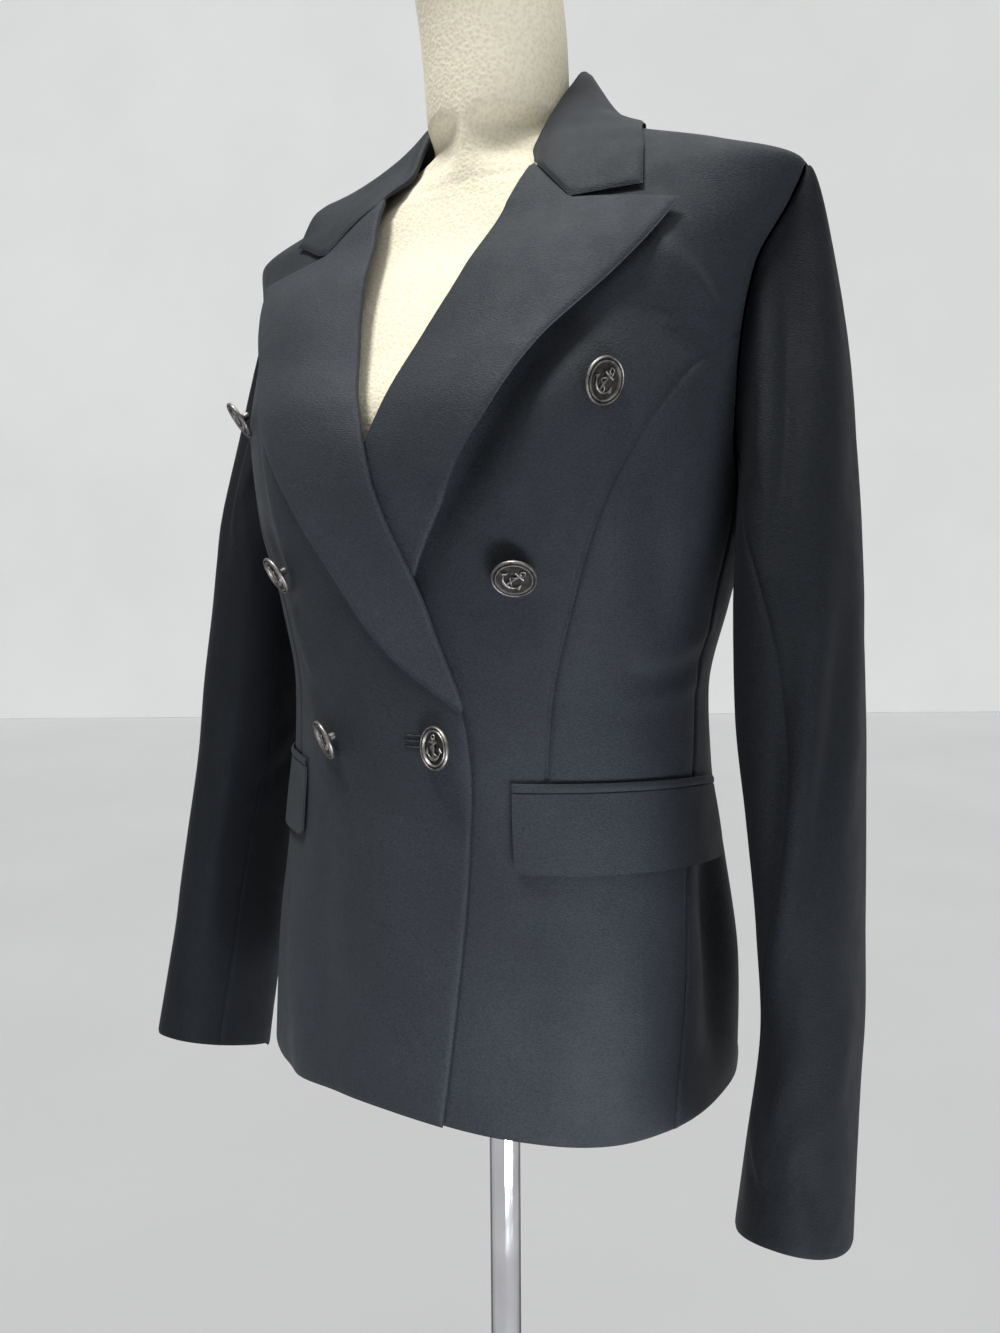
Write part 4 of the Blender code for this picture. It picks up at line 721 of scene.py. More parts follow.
def fold_height(folds, side, u, v, arc):
    """Sum of the folds of one side at (u, v); arc is metres to a unit of u."""
    total = np.zeros(np.broadcast(u, v).shape)
    for fold in folds:
        if side not in fold.side:
            continue
        points = np.array(fold.points, float) * (arc, MM)
        steps = np.linalg.norm(np.diff(points, axis=0), axis=1)
        best = np.full(total.shape, np.inf)
        along = np.zeros(total.shape)
        across = np.zeros(total.shape)
        start = 0.0
        for a, b, step in zip(points[:-1], points[1:], steps):
            way = (b - a) / step
            du, dv = u * arc - a[0], v - a[1]
            t = np.clip(du * way[0] + dv * way[1], 0.0, step)
            far = np.hypot(du - t * way[0], dv - t * way[1])
            near = far < best
            along = np.where(near, (start + t) / steps.sum(), along)
            across = np.where(near, np.sign(way[0] * dv - way[1] * du) * far, across)
            best = np.minimum(best, far)
            start += step
        width = np.where(across > 0, fold.left_width, fold.right_width) * MM
        taper = np.sin(np.pi * np.clip(along, 0.0, 1.0)) ** FOLD_TAPER
        total += fold.height * MM * taper * np.exp(-((across / width) ** 2))
    return total


def finer(count, inner=()):
    """Places along a grid, closer together at its two edges and at any inner ones."""
    at = set(np.arange(float(count)))
    for edge in (0, count - 1, *inner):
        at |= {edge + k * side for k in EDGE_STEPS for side in (-1, 1)}
    return np.array(sorted(v for v in at if 0 <= v <= count - 1))


def refined(grid, axis, inner=()):
    """Extra rows close to both edges of a grid, so that its edge can be shaped."""
    count = grid.shape[axis]
    at = finer(count, inner)
    low = np.clip(np.floor(at).astype(int), 0, count - 2)
    part = (at - low).reshape([-1 if k == axis else 1 for k in range(grid.ndim)])
    return np.take(grid, low, axis) * (1 - part) + np.take(grid, low + 1, axis) * part


def grid_normals(points):
    normal = np.cross(np.gradient(points, axis=0), np.gradient(points, axis=1))
    return normal / np.maximum(np.linalg.norm(normal, axis=-1, keepdims=True), 1e-12)


def dip_at_edges(outer, normal, rim, depth):
    """The cloth dips along its seams and pressed edges."""
    flat = outer.reshape(-1, 3)
    on_rim = []
    for a, b in rim:
        steps = max(2, int(np.linalg.norm(flat[a] - flat[b]) / RIM_STEP))
        share = np.linspace(0, 1, steps, endpoint=False)[:, None]
        on_rim.append(flat[a] * (1 - share) + flat[b] * share)
    on_rim = np.concatenate(on_rim)
    tree = KDTree(len(on_rim))
    for i, point in enumerate(on_rim):
        tree.insert(point, i)
    tree.balance()
    distance = np.array([tree.find(point)[2] for point in flat]).reshape(outer.shape[:2])
    return outer - normal * (depth * np.exp(-((distance / SEAM_WIDTH) ** 2)))[..., None]


def sagged(points):
    """The wearer's right shoulder lies a little lower, with all that is on it."""
    points = np.array([tuple(p) for p in points])
    share = ease(-points[:, 0], *SAG_ACROSS) * ease(points[:, 2], *SAG_UP)
    points[:, 2] -= SHOULDER_SAG * share
    return points


def linked(name, data):
    """A new object in the scene."""
    made = bpy.data.objects.new(name, data)
    bpy.context.scene.collection.objects.link(made)
    return made


def make_mesh(name, points, faces, look):
    mesh = bpy.data.meshes.new(name)
    whole = [tuple(map(int, face)) for face in faces]
    mesh.from_pydata([tuple(p) for p in sagged(points)], [], whole)
    mesh.shade_smooth()
    mesh.set_sharp_from_angle(angle=math.radians(SHARP_ANGLE))
    mesh.materials.append(look)
    return linked(name, mesh)


def grid_cells(shape, present=None):
    """Quads of a grid of points, and the edges round them."""
    index = np.arange(shape[0] * shape[1]).reshape(shape)
    there = np.ones(np.subtract(shape, 1), bool) if present is None else present
    r, c = np.nonzero(there)
    quads = np.stack([index[r, c], index[r + 1, c], index[r + 1, c + 1], index[r, c + 1]], axis=1)
    edges = np.concatenate([quads[:, [k, (k + 1) % 4]] for k in range(4)])
    forward = {(int(a), int(b)) for a, b in edges}
    return quads, sorted((a, b) for a, b in forward if (b, a) not in forward)


def closed_wall(outer, inner, quads, rim, mirror):
    """Points and faces of the wall between two grids."""
    count = outer.shape[0] * outer.shape[1]
    sides = np.array([(b, a, count + a, count + b) for a, b in rim])
    faces = np.concatenate([quads, quads[:, ::-1] + count, sides])
    used = np.unique(faces)
    number = np.zeros(2 * count, int)
    number[used] = np.arange(len(used))
    points = np.concatenate([outer.reshape(-1, 3), inner.reshape(-1, 3)])[used]
    faces = number[faces]
    return (points * (-1, 1, 1), faces[:, ::-1]) if mirror else (points, faces)


def cloth_piece(
    name, outer, mirror=False, present=None, wall=WALL, dip=SEAM_DEPTH, normal=None, look=None
):
    """A closed wall of cloth under a grid of points, which stands for a CAD node."""
    quads, rim = grid_cells(outer.shape[:2], present)
    normal = grid_normals(outer) if normal is None else normal
    inner = outer - normal * wall
    outer = dip_at_edges(outer, normal, rim, dip) if dip else outer
    points, faces = closed_wall(outer, inner, quads, rim, mirror)
    made = make_mesh(f"cloth_{name}", points, faces, look or SUITING)
    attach(made, "root")
    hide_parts(name)
    width, length, area = CUTS.get(name) or CUTS[name.split("_", 1)[1]]
    return made


def front_surface(on_top):
    def surface(angle, height):
        reach = body_point(angle, height)[..., 0]
        return lifted(angle, height, overlap_lift(reach, height) if on_top else 0.0 * reach)

    return surface


def fine_front():
    """The front's grid with closer cells at its edges, and which of them exist."""
    angle, height, present = front_grid()
    inner = ((FRONT_COLUMNS,), (POCKET_ROW,))
    grid = refined(refined(np.stack([angle, height], axis=-1), 0, inner[0]), 1, inner[1])
    places = [finer(present.shape[k] + 1, inner[k]) for k in (0, 1)]
    cells = [np.floor((at[:-1] + at[1:]) / 2).astype(int) for at in places]
    return grid, present[np.ix_(*cells)]


def make_torso():
    front, there = fine_front()
    grids = {"side_front": side_front_grid(), "side_back": side_back_grid(), "back": back_grid()}
    for side, name in SIDES:
        pieces = [("front", front_surface(side < 0), front, there)]
        for piece, grid in grids.items():
            pieces.append((piece, torso, refined(refined(grid, 0), 1), None))
        for piece, surface, grid, present in pieces:
            u, v = grid[..., 0], grid[..., 1]
            normal = normals_of(surface, u, v)
            fold = fold_height(TORSO_FOLDS, side, u, v, TORSO_ARC)
            outer = surface(u, v) + normal * fold[..., None]
            cloth_piece(f"{name}_{piece}", outer, side < 0, present, normal=normal)

# How far the lapel's free edge stands off, past its solid, up from the break.
LAPEL_BELLIES = table(
    "along left right",
    (0.0, 0.0, 0.0), (0.2, 0.0, 0.003), (0.41, 0.0012, 0.005), (0.48, 0.008, 0.0052),
    (0.58, 0.0112, 0.005), (0.7, 0.0086, 0.0044), (0.84, 0.004, 0.0034), (1.0, 0.0022, 0.0022),
)
LAPEL_ROWS = 110
LAPEL_START, LAPEL_TAIL = 0.004, 0.004
LAPEL_SHARES = np.concatenate(
    [[0, 0.03, 0.08], np.linspace(0.14, 0.9, 17), [0.94, 0.97, 0.985, 1.0]]
)


def lapel_points(on_top):
    """The lapel from behind the roll, round it and out to the free edge."""
    along = np.linspace(LAPEL_START, 1, LAPEL_ROWS)
    roll_height = BREAK_HEIGHT + along * (GORGE_HEIGHT - BREAK_HEIGHT)
    edge_height = BREAK_HEIGHT + along * (LAPEL_EDGE[-1].height - BREAK_HEIGHT)
    roll = pairs(smooth(OPENING, "reach", roll_height), roll_height)
    edge = pairs(smooth(LAPEL_EDGE, "reach", edge_height), edge_height)
    s = LAPEL_SHARES[:, None, None]
    flat = (1 - s) * roll[None] + s * edge[None]
    bend = lapel_top(LAPEL_SHARES) - flat[:, -1]
    flat = flat + bend[:, None] * (along**5)[None, :, None]
    reach, height = flat[..., 0], flat[..., 1]
    u = LAPEL_SHARES[:, None] + 0 * along
    stand = np.sin(np.pi / 2 * u) * along[None]
    lift = CLOTH + LAPEL_REST + LAPEL_LIFT_EDGE * stand
    lift = lift + smooth(LAPEL_BELLIES, "right" if on_top else "left", along)[None] * u**2.2
    if on_top:
        lift = lift + overlap_lift(reach, height)
    face = lifted(angle_at(reach, height), height, lift)
    normal = grid_normals(face)[0]
    outward = unit(np.cross(np.gradient(face[0], axis=0), normal))
    outward *= np.sign(((face[0] - face[2]) * outward).sum(1, keepdims=True))
    centre = face[0] - normal * ROLL_RADIUS
    turns = np.radians(ROLL_TURNS)[:, None, None]
    roll_points = centre + ROLL_RADIUS * (normal * np.cos(turns) + outward * np.sin(turns))
    tail = roll_points[:1] - outward * LAPEL_TAIL
    return np.concatenate([tail, roll_points, face])


def make_lapels():
    for side, name in SIDES:
        outer = lapel_points(side < 0)
        # The lapels take the lighter copy of the suiting, with painted light.
        cloth_piece(f"{name}_lapel", outer, side < 0, wall=LAPEL_WALL, look=PAINTED_LIGHT_LAPEL_SUITING)


FOLD_DROP = 0.004
FOLD_TURNS = (180.0, 160.0, 140.0, 120.0, 100.0, 80.0, 60.0, 40.0)
FALLS = (0.06, 0.10, 0.15, 0.2, 0.25, 0.3, 0.36, 0.42, 0.5, 0.58, 0.66, 0.74, 0.82, 0.9)
FALLS += (0.95, 0.98, 1.0)
STAND_DROP, STAND_LIFT = 0.0006, 0.0015
NECK_SHARE = 0.66  # the collar's share over the shoulder seam


def collar_columns(shares):
    """The collar's points from its stand over the fold to the edge, at signed shares."""
    fold, edge = collar_station(shares)
    edge[:, 2] += RIDE_UP * ease(-shares, 0.5, 1.0)
    out = edge - fold
    out[:, 2] = 0
    out = unit(out)
    near_end = ease(np.abs(shares), 0.80, 1.0)[:, None]
    radius = FOLD_RADIUS * (1 - 0.55 * near_end)
    up = np.array([0.0, 0.0, 1.0])
    centre = fold - up * radius
    columns = [centre - out * radius - up * FOLD_DROP * (1 - 0.8 * near_end)]
    for turn in np.radians(FOLD_TURNS):
        columns.append(centre + radius * (out * math.cos(turn) + up * math.sin(turn)))
    for fall in FALLS:
        columns.append(fold * (1 - fall) + edge * fall + out * radius * (1 - fall))
    return np.stack(columns), fold


def make_collar():
    end = np.linspace(1, 0.9, 18)[:-1]
    shares = np.concatenate([end, np.linspace(0.9, -0.9, 110), -end[::-1]])
    grid, _ = collar_columns(shares)
    tips, folds = collar_columns(np.array([1.0, -1.0]))
    bends = len(FOLD_TURNS) + 1
    falls = np.array((0.0,) * bends + FALLS)
    ends = np.stack([collar_end(falls), collar_end(falls, RIDE_UP) * (-1, 1, 1)], axis=1)
    ends[:bends] += tips[:bends] - folds[None]
    weight = ease(np.abs(shares), 0.78, 1.0)[None, :, None]
    grid = grid + weight * (ends - tips)[:, (shares < 0).astype(int)]
    strength = ease(np.array(FALLS), 0.0, 0.40)[:, None]
    cleared = clear_of_shoulders(grid[bends:], COLLAR_CLEAR + CLOTH, strength)
    outer = np.concatenate([grid[:bends], cleared])
    normal = grid_normals(outer)
    u = np.abs(shares)[None] + 0 * falls[:, None]
    v = falls[:, None] + 0 * u
    for side, _ in SIDES:
        fold = fold_height(COLLAR_FOLDS, side, v, u, 1.0) * (shares * side > 0)[None]
        outer = outer + normal * fold[..., None]
    cloth_piece("collar", outer, wall=COLLAR_WALL)


def stand_points():
    shares = np.linspace(-0.64, 0.64, 90)
    grid, _ = collar_columns(shares)
    top = grid[0].copy()
    top[:, 2] -= STAND_DROP
    at = np.abs(shares)
    angle = np.maximum(180 - at * 90 / NECK_SHARE, 90)
    neck_height = np.interp(at, (0.0, NECK_SHARE, 1.0), (NECK_BACK, NECK_SIDE, GORGE_HEIGHT))
    foot = body_point(angle, neck_height)
    foot[:, 0] *= np.sign(shares)
    foot = foot + unit(top - foot) * STAND_LIFT
    share = np.linspace(0, 1, 9)[:, None, None]
    return top * (1 - share) + foot * share


SLEEVE_CAPS = np.concatenate([[0, 0.01, 0.025, 0.045], np.linspace(0.07, 1, 30)[:-1]])
SLEEVE_FREE = np.concatenate([np.linspace(1, 1.98, 92), [1.987, 1.993, 1.997, 2.0]])
SLEEVE_GAP = 0.00001 / 0.29  # metres to a share of the turn
SLEEVE_DIP = 0.0009
CUFF_BACK, CUFF_BACK_DROP = 0.695, 0.0045


def make_sleeves():
    places = np.concatenate([SLEEVE_CAPS, SLEEVE_FREE])
    height = np.interp(places, (0, 1, 2), (SLEEVE_TOP, CAP_HEIGHT, CUFF_HEIGHT))
    hindarm = HINDARM_TURN / 360 + 0 * height
    for side, name in SIDES:
        forearm = smooth(FOREARM_SEAMS[name], "turn", height) / 360
        for piece, start, end, columns in (
            ("top_sleeve", hindarm - 1, forearm, 84),
            ("under_sleeve", forearm, hindarm, 34),
        ):
            share = refined(np.linspace(0, 1, columns)[:, None], 0)
            turn = (1 - share) * (start + SLEEVE_GAP) + share * (end - SLEEVE_GAP)
            place = places[None, :] + 0 * turn
            points = sleeve_surface(turn, place)
            normal = sleeve_normals(turn, place)
            degrees = np.mod(turn, 1.0) * 360
            total = sum(
                fold_height(SLEEVE_FOLDS, side, u, points[..., 2], SLEEVE_ARC)
                for u in (degrees, degrees - 360)
            )
            behind = np.exp(-(((np.mod(turn, 1.0) - CUFF_BACK) / 0.05) ** 4))
            points[..., 2] -= CUFF_BACK_DROP * behind * ease(place, 1.93, 2.0)
            settle = np.clip(place / 0.12, 0.0, 1.0)
            base = fold_height(TORSO_FOLDS, side, *armhole_at(turn * len(ARMHOLE)), TORSO_ARC)
            outer = points + normal * (total * settle + base * (1 - settle))[..., None]
            # The sleeves take the darker copy of the suiting, with painted shade.
            cloth_piece(
                f"{name}_{piece}",
                outer,
                side < 0,
                dip=SLEEVE_DIP,
                normal=normal,
                look=PAINTED_SHADE_SLEEVE_SUITING,
            )


def sleeve_normals(turn, place):
    step = SLEEVE_DERIVATIVE
    du = sleeve_surface(turn + step, place) - sleeve_surface(turn - step, place)
    low, high = np.maximum(place - step, 0.0), np.minimum(place + step, 2.0)
    return unit(np.cross(du, sleeve_surface(turn, high) - sleeve_surface(turn, low)))


def make_pockets():
    inset = np.array((0.0, 0.15, 0.4, 0.8))
    middle = np.linspace(POCKET_START + 1.4, POCKET_END - 1.4, 90)
    angle = np.concatenate([POCKET_START + inset, middle, POCKET_END - inset[::-1]])[:, None]
    share = pocket_share(angle)
    welt_top = WELT_TOP - WELT_DROP * share**2
    across = np.array([0, 0.05, 0.13, 0.3, 0.5, 0.7, 0.87, 0.95, 1.0])[None]
    down = np.concatenate([[0, 0.01, 0.03, 0.06], np.linspace(0.1, 0.96, 22), [0.98, 1.0]])[None]
    along = share * POCKET_LENGTH
    from_end = np.minimum(along, POCKET_LENGTH - along)
    round_off = FLAP_CORNER - np.clip(from_end, 0, FLAP_CORNER)
    corner = FLAP_CORNER - np.sqrt(FLAP_CORNER**2 - round_off**2)
    foot = FLAP_FOOT - FLAP_FOOT_DROP * share**1.5 + corner * 0.8
    top = welt_top - WELT_HEIGHT - 0.0001
    welt, flap = {"dip": WELT_DIP}, {"wall": FLAP_CLOTH, "dip": 0.0}
    for side, name in SIDES:
        wave = FLAP_WAVE * np.sin(along * 58 + 0.6 * side) * (1 - down)
        hang = FLAP_STAND_OFF * (0.40 * (1 - down) ** 1.5 + 0.30 * np.sin(np.pi * down))
        puff = WELT_PUFF * np.sin(np.pi * across) ** 0.6
        for piece, height, lift, kind in (
            ("welt", welt_top - WELT_HEIGHT * (1 - across), WELT_CLOTH + puff, welt),
            ("flap", foot + (top - foot) * down, FLAP_CLOTH + hang + 0.6 * wave, flap),
        ):
            wide = angle + 0 * height
            if side < 0:
                lift = lift + overlap_lift(body_point(wide, height)[..., 0], height)
            outer = lifted(wide, height, POCKET_REST + lift)
            cloth_piece(f"{name}_pocket_{piece}", outer, side < 0, **kind)


# --- materials -----------------------------------------------------------------------------

SUITING_COLOUR = (0.0160, 0.0184, 0.0222)
YARN_SCALE, YARN_SLANT = 760.0, 0.55


class Look:
    """A material under way: textures in object coordinates that feed its one shader."""

    def __init__(self, name, colour, roughness, metallic=0.0, **values):
        self.material = bpy.data.materials.new(name)
        self.material.use_nodes = True
        self.tree = self.material.node_tree
        self.shader = self.tree.nodes["Principled BSDF"]
        self.where = self.tree.nodes.new("ShaderNodeTexCoord").outputs["Object"]
        self.give(Base_Color=(*colour, 1.0), Roughness=roughness, Metallic=metallic, **values)

    def give(self, node=None, **values):
        """Sets inputs of a node, or else of the shader, to constants or to what feeds them."""
        for name, value in values.items():
            socket = (node or self.shader).inputs[name.replace("_", " ")]
            if isinstance(value, bpy.types.NodeSocket):
                self.tree.links.new(value, socket)
            else:
                socket.default_value = value

    def add(self, kind, output, **values):
        node = self.tree.nodes.new("ShaderNode" + kind)
        self.give(node, **values)
        return node.outputs[output]

    def noise(self, scale, detail=3.0, stretch=None, turn=(0.0, 0.0, 0.0)):
        where = self.where
        if stretch:
            where = self.add("Mapping", "Vector", Vector=where, Scale=stretch, Rotation=turn)
        return self.add("TexNoise", "Fac", Vector=where, Scale=scale, Detail=detail)

    def ramp(self, value, low, high, at=(0.35, 0.65)):
        made = self.add("ValToRGB", "Color", Fac=value)
        for end, colour, place in zip(made.node.color_ramp.elements, (low, high), at):
            end.color = (*colour, 1.0)
            end.position = place
        return made

    def bump(self, value, distance, strength):
        """One more bump over those that the shader has."""
        made = self.add("Bump", "Normal", Height=value, Distance=distance, Strength=strength)
        before = self.shader.inputs["Normal"].links
        if before:
            self.give(made.node, Normal=before[0].from_socket)
        self.give(Normal=made)


def suiting_material(name, tone):
    """Smooth dark stretch twill: fine slanting yarns, a faint cloudy tone and a soft sheen."""
    # tone scales the colour, the sheen and the specular: above 1 it paints light, below 1 it paints
    # shade.
    base = tuple(c * tone for c in SUITING_COLOUR)
    look = Look(
        name,
        base,
        0.62,
        Sheen_Weight=0.03 * tone,
        Sheen_Roughness=0.45,
        Sheen_Tint=(0.80, 0.88, 0.96, 1.0),
        Specular_IOR_Level=0.24 * tone,
        Specular_Tint=(0.90, 0.96, 1.0, 1.0),
    )
    low, high = (tuple(c * k for c in base) for k in (0.86, 1.14))
    colour = look.ramp(look.noise(12.0, 4.0), low, high)
    yarn = look.noise(YARN_SCALE, 2.0, (0.9, 0.9, 2.2), (0.0, YARN_SLANT, 0.0))
    grain = look.ramp(yarn, (0.6,) * 3, (1.4,) * 3, (0.32, 0.68))
    mix = look.tree.nodes.new("ShaderNodeMix")
    mix.data_type, mix.blend_type = "RGBA", "MULTIPLY"
    look.give(mix, Factor=1.0, A=colour, B=grain)
    rough = look.ramp(look.noise(60.0), (0.58,) * 3, (0.66,) * 3)
    look.give(Base_Color=mix.outputs["Result"], Roughness=rough)
    look.bump(yarn, 0.0006, 0.70)
    look.bump(look.noise(1100.0, 2.0, (2.2, 2.2, 0.7)), 0.00045, 0.55)
    look.bump(look.noise(26.0), 0.0018, 0.30)
    return look.material


def velour_material():
    """Ivory velour with a short curled nap."""
    look = Look(
        "velour",
        (0.80, 0.74, 0.57),
        0.92,
        Sheen_Weight=0.15,
        Sheen_Roughness=0.5,
        Sheen_Tint=(1.0, 0.96, 0.86, 1.0),
    )
    cells = look.add("TexVoronoi", "Distance", Vector=look.where, Scale=420.0, Randomness=1.0)
    both = look.add("Math", "Value")
    both.node.operation = "MULTIPLY"
    for socket, value in zip(both.node.inputs, (cells, look.noise(260.0, 5.0))):
        look.tree.links.new(value, socket)
    look.give(Base_Color=look.ramp(both, (0.73, 0.66, 0.50), (0.84, 0.78, 0.60), (0.05, 0.32)))
    look.bump(both, 0.0012, 0.55)
    look.bump(look.noise(900.0, 2.0), 0.0003, 0.4)
    return look.material


def metal_material(name, low, high, roughness, scale, metallic=1.0, **values):
    """Metal with a slightly uneven tone and fine marks."""
    look = Look(name, high, roughness, metallic, **values)
    rough = look.ramp(look.noise(scale * 3), (roughness * 0.8,) * 3, (roughness * 1.25,) * 3)
    look.give(Base_Color=look.ramp(look.noise(scale, 4.0), low, high), Roughness=rough)
    look.bump(look.noise(scale * 5, 2.0), 0.00003, 0.3)
    return look.material


def pale_material(name, colour):
    look = Look(name, colour, 0.9, Specular_IOR_Level=0.1)
    low, high = (tuple(c * k for c in colour) for k in (0.985, 1.015))
    look.give(Base_Color=look.ramp(look.noise(1.5), low, high))
    return look.material


# One cloth in three copies: the lapels' copy is lighter, with painted light, and the sleeves' copy
# far darker, with painted shade.
SUITING = suiting_material("suiting", 0.98)
PAINTED_LIGHT_LAPEL_SUITING = suiting_material("suiting_lapel", 1.20)
PAINTED_SHADE_SLEEVE_SUITING = suiting_material("suiting_sleeve_painted_shade", 0.46)


# --- buttons -------------------------------------------------------------------------------


def add_lathe(bm, profile, steps):
    """A profile of (radius, height), turned about Z, from the top's middle to the back's."""
    turns = [2 * math.pi * k / steps for k in range(steps)]
    rings = []
    for radius, height in profile:
        around = [(radius * math.cos(t), radius * math.sin(t), height) for t in turns]
        rings.append([bm.verts.new(p) for p in (around if radius else around[:1])])
    for upper, lower in zip(rings[:-1], rings[1:]):
        for k in range(steps):
            j = (k + 1) % steps
            if len(upper) == 1:
                bm.faces.new((upper[0], lower[k], lower[j]))
            elif len(lower) == 1:
                bm.faces.new((upper[k], lower[0], upper[j]))
            else:
                bm.faces.new((upper[k], lower[k], lower[j], upper[j]))


def add_tube(bm, path, radii, sides=10, flat=0.9, closed=False):
    """A tube along points (x, y, z), its height flattened."""
    points = [Vector(p) for p in path]
    count = len(points)
    rings = []
    for k, (point, radius) in enumerate(zip(points, np.broadcast_to(radii, count))):
        before = points[k - 1] if k or closed else point
        after = points[(k + 1) % count] if k + 1 < count or closed else point
        way = (after - before).normalized()
        across = way.cross(Vector((0, 0, 1))).normalized()
        out, up = across * float(radius), across.cross(way) * float(radius) * flat
        turns = [2 * math.pi * s / sides for s in range(sides)]
        rings.append([bm.verts.new(point + out * math.cos(t) + up * math.sin(t)) for t in turns])
    for a, b in zip(rings, rings[1:] + rings[:1] * closed):
        for s in range(sides):
            j = (s + 1) % sides
            bm.faces.new((a[s], a[j], b[j], b[s]))
    if not closed:
        bm.faces.new(rings[0][::-1])
        bm.faces.new(rings[-1])

BUTTON_PROFILE = (
    (0.0, 0.0014), (0.0050, 0.00135), (0.0086, 0.0011), (0.0090, 0.00115), (0.0093, 0.0019),
    (0.0097, 0.0024), (0.0101, 0.0024), (0.0104, 0.0019), (0.0107, 0.00150), (0.0110, 0.00155),
    (0.0113, 0.0021), (0.0118, 0.0024), (0.0123, 0.0020), (0.0125, 0.0013), (0.0124, 0.0007),
    (0.0120, 0.0002), (0.0060, -0.0006), (0.0040, -0.0010), (0.0028, -0.0016), (0.0022, -0.0030),
    (0.0023, -0.0048), (0.0019, -0.0058), (0.0, -0.0060),
)


def button_mesh(name):
    """A shank button: two raised rims round a dished field with an anchor and its rope."""
    bm = bmesh.new()
    add_lathe(bm, BUTTON_PROFILE, BUTTON_SIDES)
    # The dished field and the groove between the rims take the dark pewter: painted shade in the
    # recesses.
    for face in bm.faces:
        middle = face.calc_center_median()
        across = math.hypot(middle.x, middle.y)
        field = across < 0.0089 and middle.z > 0.0008
        groove = 0.0103 < across < 0.0112 and middle.z > 0.001
        face.material_index = int(field or groove)
    z = ANCHOR_LEVEL
    add_tube(bm, [(0, y, z) for y in np.linspace(0.0048, -0.0058, 9)], 0.00085)
    stock = np.linspace(-0.0034, 0.0034, 7)
    add_tube(bm, [(x, 0.0034 + 0.0002 * (x / 0.003) ** 2, z) for x in stock], 0.0007)
    ring = np.linspace(0, 2 * math.pi, 17)[:-1]
    ring = [(0.0014 * math.cos(t), 0.0062 + 0.0014 * math.sin(t), z) for t in ring]
    add_tube(bm, ring, 0.00048, closed=True)
    arms = np.radians(np.linspace(-78, 78, 21))
    arms = [(0.0056 * math.sin(t), -0.0010 - 0.0050 * math.cos(t), z) for t in arms]
    thick = [0.00065 - 0.00035 * math.cos(2 * math.pi * k / 20) for k in range(21)]
    add_tube(bm, arms, thick)
    for side in (-1, 1):
        fluke = ((0.0066, -0.0026, z), (0.0056, -0.0012, z), (0.0052, 0.0004, z))
        add_tube(bm, [(side * x, y, z) for x, y, z in fluke], (0.0010, 0.0009, 0.0002), flat=0.7)
    rope = []
    for t in np.linspace(0, 1, ROPE_STEPS):
        x = 0.0026 * math.sin(t * 2 * math.pi * 1.25 + 0.5) * (0.6 + 0.5 * t)
        rope.append((x, 0.0056 - 0.0108 * t, z + 0.0006 * math.cos(t * 2 * math.pi * 2.5)))
    thick = [0.00042 * (1 + 0.25 * (k % 2)) for k in range(ROPE_STEPS)]
    add_tube(bm, rope, thick, sides=8, flat=1.0)
    bmesh.ops.recalc_face_normals(bm, faces=bm.faces)
    mesh = bpy.data.meshes.new(name)
    bm.to_mesh(mesh)
    bm.free()
    mesh.shade_smooth()
    mesh.set_sharp_from_angle(angle=math.radians(BUTTON_SHARP))
    return mesh


def direction(azimuth, rise):
    """The way out from the object: azimuth 0 is the front, 90 the wearer's left."""
    a, r = math.radians(azimuth), math.radians(rise)
    return Vector((math.sin(a) * math.cos(r), -math.cos(a) * math.cos(r), math.sin(r)))


def button_places():
    """Name, seat and axis of each button, as its solid has them, and how far it has spun."""
    for button in BUTTONS:
        on_right = button.name.startswith("right")
        covered = button.name == "left_bottom_button"
        height = np.array(button.height)
        angle = angle_at(np.array(-button.reach if covered else button.reach), height)
        point = Vector(front_surface(on_right or covered)(angle, height))
        normal = Vector(normals_of(front_surface(on_right), angle, height))
        if covered or on_right:
            point.x, normal.x = -point.x, -normal.x
        axis = direction(button.turn, button.rise)
        seat = REST + SHANK_RADIUS * math.sin(normal.angle(axis)) - button.sink
        yield button.name, point + normal * seat + axis * BUTTON_BACK, axis, button.spin


def make_buttons():
    bright = metal_material("pewter_high", (0.16, 0.15, 0.14), (0.30, 0.285, 0.265), 0.46, 300.0)
    # The dark pewter paints shade into the button's recesses.
    low, high = (0.020, 0.019, 0.018), (0.050, 0.046, 0.042)
    dark = metal_material("pewter_painted_shade", low, high, 0.55, 300.0, 0.80)
    for name, location, axis, spin in button_places():
        mesh = button_mesh(f"detail_{name}")
        up = Vector((0, 0, 1))
        tall = (up - axis * axis.dot(up)).normalized()
        turn = Matrix((tall.cross(axis), tall, axis)).transposed()
        mesh.transform((turn @ Matrix.Rotation(math.radians(spin), 3, "Z")).to_4x4())
        mesh.transform(Matrix.Translation(location))
        mesh.materials.append(bright)
        mesh.materials.append(dark)
        made = linked(f"detail_{name}", mesh)
        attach(made, "root")
        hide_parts(name)


